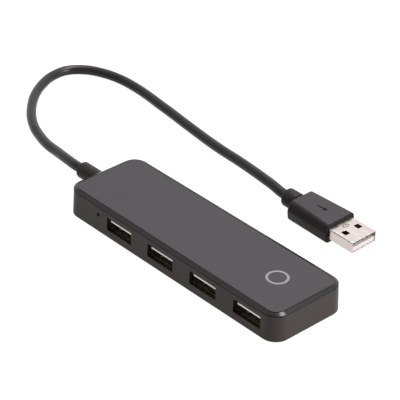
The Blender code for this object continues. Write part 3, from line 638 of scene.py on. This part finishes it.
def smooth_route(route, count):
    """Evenly spaced points on a Catmull-Rom curve through the route's points, and the curve's length."""
    padded = [2 * route[0] - route[1], *route, 2 * route[-1] - route[-2]]
    fine = []
    for i in range(1, len(padded) - 2):
        a, b, c, d = padded[i - 1:i + 3]
        for k in range(CURVE_SUBSTEPS):
            t = k / CURVE_SUBSTEPS
            fine.append(0.5 * (2 * b + (c - a) * t + (2 * a - 5 * b + 4 * c - d) * t ** 2
                               + (3 * b - 3 * c + d - a) * t ** 3))
    fine.append(padded[-2])
    travelled = [0.0]
    for first, second in zip(fine, fine[1:]):
        travelled.append(travelled[-1] + (second - first).length)
    points = []
    k = 0
    for i in range(count):
        goal = travelled[-1] * i / (count - 1)
        while k < len(fine) - 2 and travelled[k + 1] < goal:
            k += 1
        part = (goal - travelled[k]) / (travelled[k + 1] - travelled[k])
        points.append(fine[k].lerp(fine[k + 1], min(part, 1.0)))
    return points, travelled[-1]


# ---- case ----------------------------------------------------------------------------------------------
def wall_face(z):
    """How far the wall stands out from its nominal side at a height: it leans out towards the base."""
    return BASE_FLARE * (1 - z / WALL_TOP)


def port_centres():
    """Each socket's number and the centre of its opening, as its X and its height."""
    centres = []
    for number in PORT_NUMBERS:
        low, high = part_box(f"port_{number}_shell")
        centres.append((number, ((low.x + high.x) / 2, high.z - SHEET - PORT_INNER_HEIGHT / 2)))
    return centres


def cut_port_windows(case):
    """A window in the front wall for each socket, and a wider pocket behind it for the socket's shell."""
    half_height = PORT_INNER_HEIGHT / 2 + SHEET + POCKET_GAP
    for number, (x, z) in port_centres():
        face = -HALF_Y - wall_face(z)
        window = bmesh.new()
        rounded_prism(window, (x, z), WINDOW_WIDTH / 2, WINDOW_HEIGHT / 2, WINDOW_CORNER,
                      face - OVERSHOOT, face + WALL)
        cut(case, add_piece(f"window_{number}", window))
        low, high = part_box(f"port_{number}_shell")
        half_width = (high.x - low.x) / 2 + POCKET_GAP
        cut(case, box_cutter(f"pocket_{number}", (x - half_width, face + WINDOW_LIP, z - half_height),
                             (x + half_width, -HALF_Y + WALL + OVERSHOOT, z + half_height)))


def cut_lamp_hole(case):
    """The small hole in the front wall that the lamp shines through."""
    lamp_low, lamp_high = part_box("status_led")
    lamp = (lamp_low + lamp_high) / 2
    cut(case, round_cutter("lamp_hole", (lamp.x, -HALF_Y - HOLE_OUT, lamp.z),
                           (lamp.x, -HALF_Y + HOLE_IN, lamp.z), LAMP_HOLE_RADIUS))


def cut_cable_notch(case):
    """A notch with a round bottom, open at the top, where the strain relief passes through the wall."""
    outside = -HALF_X - HOLE_OUT
    inside = -HALF_X + HOLE_IN
    cut(case, round_cutter("notch_round", (outside, 0.0, CABLE_Z), (inside, 0.0, CABLE_Z), NOTCH_RADIUS))
    cut(case, box_cutter("notch_slot", (outside, -NOTCH_RADIUS, CABLE_Z), (inside, NOTCH_RADIUS, TOP_Z)))


def make_case(material):
    """The tray: leaning walls with rounded lower edges, and its openings."""
    rings = []
    for out, down in arc_offsets(BASE_ROUNDING, -90, 0, 6):
        z = BASE_ROUNDING + down
        rings.append(plan_ring(wall_face(z) - BASE_ROUNDING + out, z))
    rings.append(plan_ring(wall_face(WALL_TOP - EDGE), WALL_TOP - EDGE))
    rings.append(plan_ring(-EDGE * 0.3, WALL_TOP - EDGE * 0.3))
    rings.append(plan_ring(-EDGE, WALL_TOP))
    rings.append(plan_ring(-WALL, WALL_TOP))
    rings.append(plan_ring(-WALL, FLOOR))
    bm = bmesh.new()
    loft(bm, rings)
    case = add_piece("case_tray", bm, material)
    cut_port_windows(case)
    cut_lamp_hole(case)
    cut_cable_notch(case)
    bake(case)
    soften(case, 0.05 * MM)
    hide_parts("bottom_case")
    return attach(case, BODY)


def cover_profile():
    """Half of the lid's section as offsets from the case's side and heights, from the lip to the flat top."""
    lip_out = -WALL - LIP_GAP
    lip_in = lip_out - LIP_THICKNESS
    lip_z = COVER_BOTTOM - LIP_HEIGHT
    side_top = COVER_BOTTOM + COVER_SIDE
    round_off = 0.03 * MM
    slope = (LID_TOP - side_top) / COVER_BEVEL
    groove_depth = 0.16 * MM
    groove_width = 0.34 * MM
    groove_draft = 0.02 * MM
    groove_low = LID_TOP - groove_depth
    groove_end = -COVER_BEVEL - groove_width
    return [(lip_in, COVER_BOTTOM), (lip_in, lip_z), (lip_out, lip_z), (lip_out, COVER_BOTTOM),
            (-round_off, COVER_BOTTOM), (0.0, COVER_BOTTOM + round_off), (0.0, side_top - round_off),
            (-round_off, side_top + round_off * slope),
            (-COVER_BEVEL + round_off, LID_TOP - round_off * slope), (-COVER_BEVEL, groove_low),
            (groove_end + groove_draft, groove_low), (groove_end, LID_TOP),
            (groove_end - 2 * round_off, LID_TOP)]


def make_cover(top_material, bevel_shade_material):
    """The lid: a flat satin top inside a fine groove, a polished bevel whose darker colour is painted shade
    and reflection, and a lip down into the tray.
    """
    bm = bmesh.new()
    loft(bm, [plan_ring(offset, z) for offset, z in cover_profile()])
    cover = add_piece("cover_lid", bm, top_material)
    cover.data.materials.append(bevel_shade_material)
    # All but the flat top take the bevel's darker colour: painted shade and reflection on the bevel, in the
    # groove and on the sides.
    for polygon in cover.data.polygons:
        polygon.material_index = 0 if polygon.center.z > LID_TOP - 0.05 * MM else 1
    weigh_normals(cover)
    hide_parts("top_cover")
    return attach(cover, BODY)


def make_notch_tab(material):
    """The lid's tab that closes the wall above the strain relief."""
    bottom = CABLE_Z + NOTCH_RADIUS
    bm = bmesh.new()
    box_into(bm, (-HALF_X - wall_face(bottom) * 0.5, -TAB_HALF_WIDTH, bottom),
             (-HALF_X + WALL, TAB_HALF_WIDTH, COVER_BOTTOM))
    tab = add_piece("cover_tab", bm, material)
    soften(tab, 0.08 * MM)
    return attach(tab, BODY)


def make_ring_mark(material):
    """A plain printed ring near the end of the lid."""
    centre = Vector((HALF_X - 16.8 * MM, 0.6 * MM, TOP_Z))
    radius = 3.7 * MM
    half_width = 0.45 * MM
    thickness = 2 * INK
    steps = 72
    circle = [(math.cos(2 * math.pi * i / steps), math.sin(2 * math.pi * i / steps)) for i in range(steps)]
    rings = []
    for reach, height in ((radius - half_width, -thickness), (radius - half_width, 0.0),
                          (radius + half_width, 0.0), (radius + half_width, -thickness)):
        rings.append([centre + Vector((x * reach, y * reach, height)) for x, y in circle])
    bm = bmesh.new()
    loft(bm, rings, close=True)
    mark = add_piece("ring_mark", bm, material)
    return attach(mark, BODY)


# ---- sockets -------------------------------------------------------------------------------------------
def spring_finger(bm, root, along, inward, across):
    """A bent contact spring cut from the shell: it leaves the wall, bows inward and returns."""
    rings = []
    for travel, rise in SPRING_PATH:
        half_width = SPRING_WIDTH / 2 * (1.0 - 0.25 * travel)
        foot = root + along * (SPRING_LENGTH * travel) + inward * (SPRING_RISE * rise)
        side = across * half_width
        lift = inward * (SHEET * 0.8)
        rings.append([foot - side, foot + side, foot + side + lift, foot - side + lift])
    loft(bm, rings)


def slots_and_springs(centre, half_x, half_z, front):
    """The slots in a socket's shell and their springs: two above, two below and one on each side."""
    x, z = centre
    slots = bmesh.new()
    springs = bmesh.new()
    slot_half = SPRING_WIDTH / 2 + SPRING_SLOT_GAP
    slot_front = front + SPRING_SETBACK - SPRING_SLOT_END
    slot_rear = front + SPRING_SETBACK + SPRING_LENGTH - SPRING_SLOT_END
    root_y = front + SPRING_SETBACK + SPRING_LENGTH
    sunk = SHEET * 0.1
    reach = SPRING_SLOT_REACH
    forward = Vector((0.0, -1.0, 0.0))
    for side in (-1, 1):
        for offset in (-SPRING_SPREAD, SPRING_SPREAD):
            box_into(slots, (x + offset - slot_half, slot_front, z + side * half_z - reach),
                     (x + offset + slot_half, slot_rear, z + side * half_z + reach))
            spring_finger(springs, Vector((x + offset, root_y, z + side * (half_z - sunk))), forward,
                          Vector((0.0, 0.0, -side)), Vector((1.0, 0.0, 0.0)))
        box_into(slots, (x + side * half_x - reach, slot_front, z - slot_half * 0.8),
                 (x + side * half_x + reach, slot_rear, z + slot_half * 0.8))
        spring_finger(springs, Vector((x + side * (half_x - sunk), root_y, z)), forward,
                      Vector((-side, 0.0, 0.0)), Vector((0.0, 0.0, 0.8)))
    return slots, springs


def make_socket_shell(number, centre, material, rim_shade_material):
    """The receptacle's folded metal shell, slotted for its six springs, its front rim painted dark as shade.
    """
    x, z = centre
    low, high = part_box(f"port_{number}_shell")
    half_x = (high.x - low.x) / 2
    half_z = high.z - z
    rear, front = high.y, low.y
    edge = 0.03 * MM
    profile = [(0.0, rear), (0.0, front + edge), (edge, front), (SHEET - edge, front), (SHEET, front + edge),
               (SHEET, front + SHELL_RIM_DEPTH), (SHEET, rear)]
    rings = []
    for inset, y in profile:
        outline = rounded_rectangle(half_x - inset, half_z - inset, SHELL_CORNER - inset, 5)
        rings.append([(x + px, y, z + pz) for px, pz in outline])
    bm = bmesh.new()
    loft(bm, rings, close=True)
    shell = add_piece(f"socket_{number}_shell", bm, material)
    # The front rim and the first stretch inside take the dark metal, painted shade.
    shell.data.materials.append(rim_shade_material)
    for polygon in shell.data.polygons:
        polygon.material_index = 1 if polygon.center.y < front + SHELL_RIM_DEPTH else 0
    slots, springs = slots_and_springs(centre, half_x, half_z, front)
    cut(shell, add_piece(f"slots_{number}", slots))
    bake(shell)
    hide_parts(f"port_{number}_shell")
    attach(shell, BODY)
    fingers = add_piece(f"socket_{number}_springs", springs, material)
    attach(fingers, BODY)


def make_socket_tongue(number, centre, material):
    """The white tongue, with a thicker front lip and a groove for each contact."""
    x, z = centre
    low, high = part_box(f"port_{number}_insulator")
    bottom = z + TONGUE_BOTTOM
    top = z + TONGUE_TOP
    block_front = high.y - BLOCK_DEPTH
    rear_run = block_front + OVERSHOOT - low.y
    chamfer = 0.1 * MM
    nose = [(0.0, top - TONGUE_NOSE), (0.0, top - chamfer), (chamfer, top), (rear_run, top),
            (rear_run, bottom), (TONGUE_LIP, bottom)]
    bm = bmesh.new()
    loft(bm, [[(x + side * TONGUE_WIDTH / 2, low.y + run, level) for run, level in nose] for side in (-1, 1)])
    tongue = add_piece(f"socket_{number}_tongue", bm, material)
    grooves = bmesh.new()
    for offset in CONTACT_PLACES:
        box_into(grooves, (x + offset - GROOVE_HALF_WIDTH, low.y + TONGUE_LIP, z),
                 (x + offset + GROOVE_HALF_WIDTH, block_front + 2 * OVERSHOOT, bottom + GROOVE_DEPTH))
    cut(tongue, add_piece(f"grooves_{number}", grooves))
    bake(tongue)
    soften(tongue, 0.1 * MM)
    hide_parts(f"port_{number}_insulator")
    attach(tongue, BODY)


def make_socket_block(number, centre, material):
    """The white block behind the tongue, with a slot for each contact to pass through."""
    x, z = centre
    low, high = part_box(f"port_{number}_insulator")
    front = high.y - BLOCK_DEPTH
    bottom = z + TONGUE_BOTTOM
    bm = bmesh.new()
    box_into(bm, (low.x, front, low.z), (high.x, high.y, high.z))
    block = add_piece(f"socket_{number}_block", bm, material)
    slots = bmesh.new()
    slot_low, slot_high = (bottom - drop for drop in SLOT_BELOW_TONGUE)
    for offset in CONTACT_PLACES:
        box_into(slots, (x + offset - GROOVE_HALF_WIDTH, front - OVERSHOOT, slot_low),
                 (x + offset + GROOVE_HALF_WIDTH, high.y + OVERSHOOT, slot_high))
    cut(block, add_piece(f"block_slots_{number}", slots))
    bake(block)
    soften(block, 0.12 * MM)
    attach(block, BODY)


# ---- cable ---------------------------------------------------------------------------------------------
def circle_ring(x, radius, steps=48):
    """A ring about the X axis, in the plane at this X."""
    return [(x, radius * math.cos(2 * math.pi * i / steps), radius * math.sin(2 * math.pi * i / steps))
            for i in range(steps)]


def make_strain_relief(material):
    """The moulded barrel at the case: a neck through the wall and a rounded tip round the cable."""
    relief_low, relief_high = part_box("cable_strain_relief")
    tip = relief_low.x
    shoulder = -HALF_X - wall_face(CABLE_Z) - RELIEF_STANDOFF
    rings = [circle_ring(relief_high.x, RELIEF_NECK_RADIUS), circle_ring(shoulder, RELIEF_NECK_RADIUS),
             circle_ring(shoulder, RELIEF_RADIUS - RELIEF_CHAMFER),
             circle_ring(shoulder - RELIEF_CHAMFER, RELIEF_RADIUS)]
    rings += [circle_ring(tip + RELIEF_ROUNDING - out, RELIEF_RADIUS - RELIEF_ROUNDING + up)
              for up, out in arc_offsets(RELIEF_ROUNDING, 0, 90, 8)]
    rings += [circle_ring(tip, MOUTH_RADIUS), circle_ring(tip + MOUTH_DEPTH, MOUTH_RADIUS)]
    bm = bmesh.new()
    loft(bm, rings)
    bmesh.ops.translate(bm, verts=bm.verts, vec=(0.0, 0.0, CABLE_Z))
    relief = add_piece("strain_relief", bm, material)
    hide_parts("cable_strain_relief")
    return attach(relief, BODY)


def make_cable(material):
    """The round cord, along its route from the strain relief's tip to the plug's tail."""
    points, length = smooth_route(CABLE_ROUTE, CABLE_FINENESS)
    curve = bpy.data.curves.new("cable_cord", "CURVE")
    curve.dimensions = "3D"
    curve.bevel_depth = CABLE_RADIUS
    curve.bevel_resolution = 6
    curve.use_fill_caps = True
    spline = curve.splines.new("POLY")
    spline.points.add(len(points) - 1)
    for point, place in zip(spline.points, points):
        point.co = (*place, 1.0)
    spline.use_smooth = True
    curve.materials.append(material)
    cable = bpy.data.objects.new("cable_cord", curve)
    bpy.context.scene.collection.objects.link(cable)
    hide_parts("cable")
    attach(cable, BODY)
    return cable


# ---- plug ----------------------------------------------------------------------------------------------
def plug_section(x, half_width, half_height, radius, steps=10):
    """A ring of the plug's section at a distance along it, in the plug's own frame."""
    return [(x, y, z) for y, z in rounded_rectangle(half_width, half_height, radius, steps)]


def seat_plug_piece(piece, slot_name, *nodes):
    """Put a piece modelled in the plug's own frame where the plug lies."""
    piece.data.transform(PLUG_FRAME)
    if nodes:
        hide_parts(*nodes)
    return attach(piece, BODY)


def share_materials(materials, *pieces):
    """Give pieces the same list of materials, so that a cut's faces keep the cutter's own."""
    for piece in pieces:
        piece.data.materials.clear()
        for material in materials:
            piece.data.materials.append(material)


def oval_groove_cutter(top_z):
    """A plain pressed oval in the shell's top, between the windows and the grip."""
    rings = []
    for grow, z in ((0.0, top_z - OVAL_DEPTH), (0.0, top_z + OVAL_DEPTH),
                    (OVAL_WIDTH, top_z + OVAL_DEPTH), (OVAL_WIDTH, top_z - OVAL_DEPTH)):
        outline = rounded_rectangle(*(half + grow for half in OVAL_HALF_SIZE), OVAL_CORNER + grow, 8)
        rings.append([(OVAL_X + x, y, z) for x, y in outline])
    bm = bmesh.new()
    loft(bm, rings, close=True)
    return add_piece("oval_cutter", bm)


def latch_windows_cutter():
    """Two square bars through the top and bottom of the plug's shell."""
    reach = PLUG_SHELL_HEIGHT / 2 + OVERSHOOT
    section = rounded_rectangle(*PLUG_WINDOW_HALF_SIZE, PLUG_WINDOW_CORNER, 4)
    bm = bmesh.new()
    for side in (-1, 1):
        loft(bm, [[(PLUG_WINDOW_X + x, side * PLUG_WINDOW_Y + y, z) for x, y in section]
                  for z in (-reach, reach)])
    return add_piece("plug_windows", bm)


def make_plug_shell(material, groove_shade_material):
    """The folded shell, with its latch windows, the seam underneath and a pressed oval on top, its faces
    painted dark as shade.
    """
    half_width = PLUG_SHELL_WIDTH / 2
    half_height = PLUG_SHELL_HEIGHT / 2
    rear = -PLUG_SHELL_LENGTH
    lead = 0.06 * MM
    profile = [(0.0, rear), (0.0, -1.0 * MM), (lead * 0.4, -lead), (lead, 0.0), (SHEET - lead * 0.3, 0.0),
               (SHEET, -lead * 0.5), (SHEET, rear)]
    rings = [plug_section(x, half_width - inset, half_height - inset, PLUG_SHELL_ROUNDING - inset, 6)
             for inset, x in profile]
    bm = bmesh.new()
    loft(bm, rings, close=True)
    shell = add_piece("plug_metal_shell", bm, material)
    cut(shell, latch_windows_cutter())
    cut(shell, box_cutter("plug_seam", (rear - OVERSHOOT, -PLUG_SEAM_HALF_WIDTH, -half_height - OVERSHOOT),
                          (OVERSHOOT, PLUG_SEAM_HALF_WIDTH, -half_height + PLUG_SEAM_DEPTH)))
    oval = oval_groove_cutter(half_height)
    # The oval's faces take the dark metal, painted shade in the groove.
    share_materials((material, groove_shade_material), shell, oval)
    for polygon in oval.data.polygons:
        polygon.material_index = 1
    cut(shell, oval)
    bake(shell)
    soften(shell, 0.03 * MM, angle=50)
    return seat_plug_piece(shell, "plug_metal", "plug_shell")


def make_plug_insert(material):
    """The white insert, painted darker as shade inside the shell: a slab that carries the contacts, and a
    block that fills the shell behind it.
    """
    half_width = PLUG_SHELL_WIDTH / 2 - SHEET - INSERT_FIT
    low_z = -PLUG_SHELL_HEIGHT / 2 + SHEET + INSERT_FIT
    bm = bmesh.new()
    box_into(bm, (INSERT_REAR_X, -half_width, low_z), (INSERT_FRONT_X, half_width, INSERT_TOP_Z))
    insert = add_piece("plug_insert", bm, material)
    block = box_cutter("insert_block", (INSERT_REAR_X, -half_width, low_z),
                       (INSERT_STEP_X, half_width, -low_z))
    cut(insert, block, "UNION")
    groove_rear, groove_front = INSERT_GROOVE_X
    grooves = bmesh.new()
    for y in CONTACT_PLACES:
        box_into(grooves, (groove_rear, y - GROOVE_HALF_WIDTH, INSERT_GROOVE_Z),
                 (groove_front, y + GROOVE_HALF_WIDTH, OVERSHOOT))
    cut(insert, add_piece("insert_grooves", grooves))
    bake(insert)
    soften(insert, 0.05 * MM)
    return seat_plug_piece(insert, "white_plastic", "plug_insulator")


def arrow_cutter():
    """A plain arrow along the plug, sunk into the top of the grip to show which side is up."""
    tail_x, neck_x, point_x = ARROW_X
    shaft, head = ARROW_HALF_WIDTHS
    outline = [(tail_x, -shaft), (neck_x, -shaft), (neck_x, -head), (point_x, 0.0), (neck_x, head),
               (neck_x, shaft), (tail_x, shaft)]
    bm = bmesh.new()
    loft(bm, [[(x, y, GRIP_HALF_HEIGHT + level) for x, y in outline]
              for level in (-ARROW_DEPTH, ARROW_DEPTH)])
    return add_piece("arrow_cutter", bm)


def grip_section(x, half_width, flat, inset=0.0):
    """A ring of the grip's section: a flat top, round shoulders, and steep sides below its widest line."""
    height = GRIP_HALF_HEIGHT
    low_centre = half_width - 0.2 * MM - GRIP_LOW_ROUND
    low = [(low_centre + out, GRIP_LOW_ROUND - height + up)
           for out, up in arc_offsets(GRIP_LOW_ROUND, -90, -6, 8)]
    low += [(half_width - 0.05 * MM, GRIP_WIDEST_Z - 0.9 * MM),
            (half_width - 0.01 * MM, GRIP_WIDEST_Z - 0.2 * MM)]
    arc = [(flat + out, height - GRIP_TOP_ROUND + up) for out, up in arc_offsets(GRIP_TOP_ROUND, 24, 90, 6)]
    widest = Vector((half_width, GRIP_WIDEST_Z))
    facet = [tuple(widest.lerp(Vector(arc[0]), part)) for part in (0.0, 0.1, 0.5, 0.9)]
    side = low + facet + arc
    outline = side + [(-y, z) for y, z in reversed(side)]
    return [(x, y * (1 - inset / half_width), z * (1 - inset / height)) for y, z in outline]


def round_section(x, radius):
    """A round ring with as many points as the plug's other sections."""
    return plug_section(x, radius, radius, radius * 0.999)


def grip_body_rings():
    """The grip from the bottom of the pocket for the shell, out over its front rim and back to its rear."""
    front = -PLUG_EXPOSED
    pocket = (PLUG_SHELL_WIDTH / 2 + GRIP_POCKET_GAP, PLUG_SHELL_HEIGHT / 2 + GRIP_POCKET_GAP,
              GRIP_POCKET_CORNER)
    rings = [plug_section(-PLUG_SHELL_LENGTH - 0.2 * MM, *pocket), plug_section(front, *pocket)]
    for out, ahead in arc_offsets(GRIP_RIM, 0, 90, 5)[::-1]:
        rings.append(grip_section(front - GRIP_RIM + ahead, GRIP_HALF_WIDTH, GRIP_FLAT, GRIP_RIM - out))
    for out, back in arc_offsets(GRIP_SHOULDER, 0, 90, 5):
        rings.append(grip_section(GRIP_REAR_X + GRIP_SHOULDER - back, GRIP_REAR_HALF_WIDTH, GRIP_REAR_FLAT,
                                  GRIP_SHOULDER - out))
    return rings


def grip_tail_rings():
    """The round tail: a groove behind the grip, a barrel and its rounded tip with a mouth for the cable."""
    groove_end = GRIP_REAR_X - TAIL_GROOVE_LENGTH
    neck = TAIL_RADIUS - TAIL_GROOVE
    rings = [round_section(GRIP_REAR_X, neck), round_section(groove_end, neck)]
    for out, back in arc_offsets(TAIL_GROOVE, 0, 90, 3):
        rings.append(round_section(groove_end - TAIL_GROOVE + out, neck + back))
    for up, out in arc_offsets(TAIL_ROUNDING, 0, 90, 7):
        rings.append(round_section(TAIL_TIP_X + TAIL_ROUNDING - out, TAIL_RADIUS - TAIL_ROUNDING + up))
    rings.append(round_section(TAIL_TIP_X, MOUTH_RADIUS))
    rings.append(round_section(TAIL_TIP_X + MOUTH_DEPTH, MOUTH_RADIUS))
    return rings


def make_plug_grip(matt, polished, sunk):
    """The moulded grip: a matt top, polished sides painted darker as shade, and faces painted darker still as
    shade in its recesses and at its front.
    """
    bm = bmesh.new()
    loft(bm, grip_body_rings() + grip_tail_rings())
    grip = add_piece("plug_grip", bm, matt)
    arrow = arrow_cutter()
    share_materials((matt, polished, sunk), grip, arrow)
    # Forward faces and the arrow's recess take the painted shade, the sides the darker polished copy, the top
    # the matt plastic.
    for polygon in grip.data.polygons:
        on_top = polygon.center.z > GRIP_HALF_HEIGHT - 0.1 * MM
        faces_forward = polygon.normal.x > 0.5
        polygon.material_index = 2 if faces_forward else 0 if on_top else 1
    for polygon in arrow.data.polygons:
        polygon.material_index = 2
    cut(grip, arrow)
    bake(grip)
    return seat_plug_piece(grip, "soft_plastic", "plug_overmold")


# ---- everything together -------------------------------------------------------------------------------
def paint(material, *nodes):
    """Give CAD nodes that stay in view their finished material."""
    for node in nodes:
        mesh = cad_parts[node].data
        mesh.materials.clear()
        mesh.materials.append(material)


def make_hub_case(plastics):
    """The tray, the lid with its tab, and the ring printed on it."""
    make_case(plastics["case_satin_plastic"])
    make_cover(plastics["lid_satin_plastic"], plastics["lid_polished_bevel_shaded"])
    make_notch_tab(plastics["case_satin_plastic"])
    make_ring_mark(plastics["ring_ink"])


def make_sockets(plastics, rim):
    """The four sockets, each with its four gold contacts."""
    metal = plated_metal("socket_plating", (0.30, 0.26, 0.20), 0.38, stretch=ALONG_SOCKET)
    gold = gold_plating()
    for number, centre in port_centres():
        make_socket_shell(number, centre, metal, rim)
        make_socket_tongue(number, centre, plastics["white_nylon"])
        make_socket_block(number, centre, plastics["white_nylon"])
        paint(gold, *(f"port_{number}_contact_{i}" for i in range(1, 5)))


def make_cord(plastics, groove_shade_material):
    """The cable with everything that rides on it: its strain relief and the whole plug."""
    # Polished soft plastic whose darker colour is painted shade, for the strain relief and the grip's sides.
    polished = plastics["soft_pvc_polished_shaded"]
    relief = make_strain_relief(polished)
    plug = [make_plug_shell(plated_metal("plug_nickel", (0.602, 0.535, 0.505), 0.24), groove_shade_material),
            make_plug_insert(plastics["insert_nylon_shaded"]),
            make_plug_grip(plastics["soft_pvc"], polished, plastics["soft_pvc_painted_shade"])]
    contacts = [f"plug_contact_{i}" for i in range(1, 5)]
    paint(plated_metal("shaded_gold", (0.22, 0.15, 0.08), 0.5), *contacts)
    make_cable(cable_jacket())


def paint_inside(plastics):
    """Materials for the board, what is on it, and the wires."""
    paint(board_material(), "circuit_board")
    paint(plastics["chip_epoxy"], "hub_controller")
    paint(plated_metal("crystal_can", (0.72, 0.71, 0.69), 0.3), "crystal")
    paint(plated_metal("capacitor_can", (0.66, 0.67, 0.69), 0.28, stretch=ALONG_CAPACITOR),
          "bulk_capacitor_1", "bulk_capacitor_2")
    paint(plated_metal("tinned_leads", (0.75, 0.74, 0.72), 0.3), "led_lead_1", "led_lead_2")
    paint(lamp_epoxy(), "status_led")
    for name, color in WIRE_COLORS:
        paint(moulded_plastic(f"{name}_insulation", color, 0.42, 0.3 * MM, 0.004 * MM), f"wire_{name}")


def build():
    make_camera()
    plastics = {name: moulded_plastic(name, *look) for name, look in PLASTICS.items()}
    # A dark metal as painted shade: the sockets' front rims and the plug's pressed oval.
    rim = plated_metal("socket_rim_painted_shade", (0.035, 0.032, 0.028), 0.45, stretch=ALONG_SOCKET)
    make_hub_case(plastics)
    make_sockets(plastics, rim)
    make_cord(plastics, rim)
    paint_inside(plastics)
    make_stage()


build()
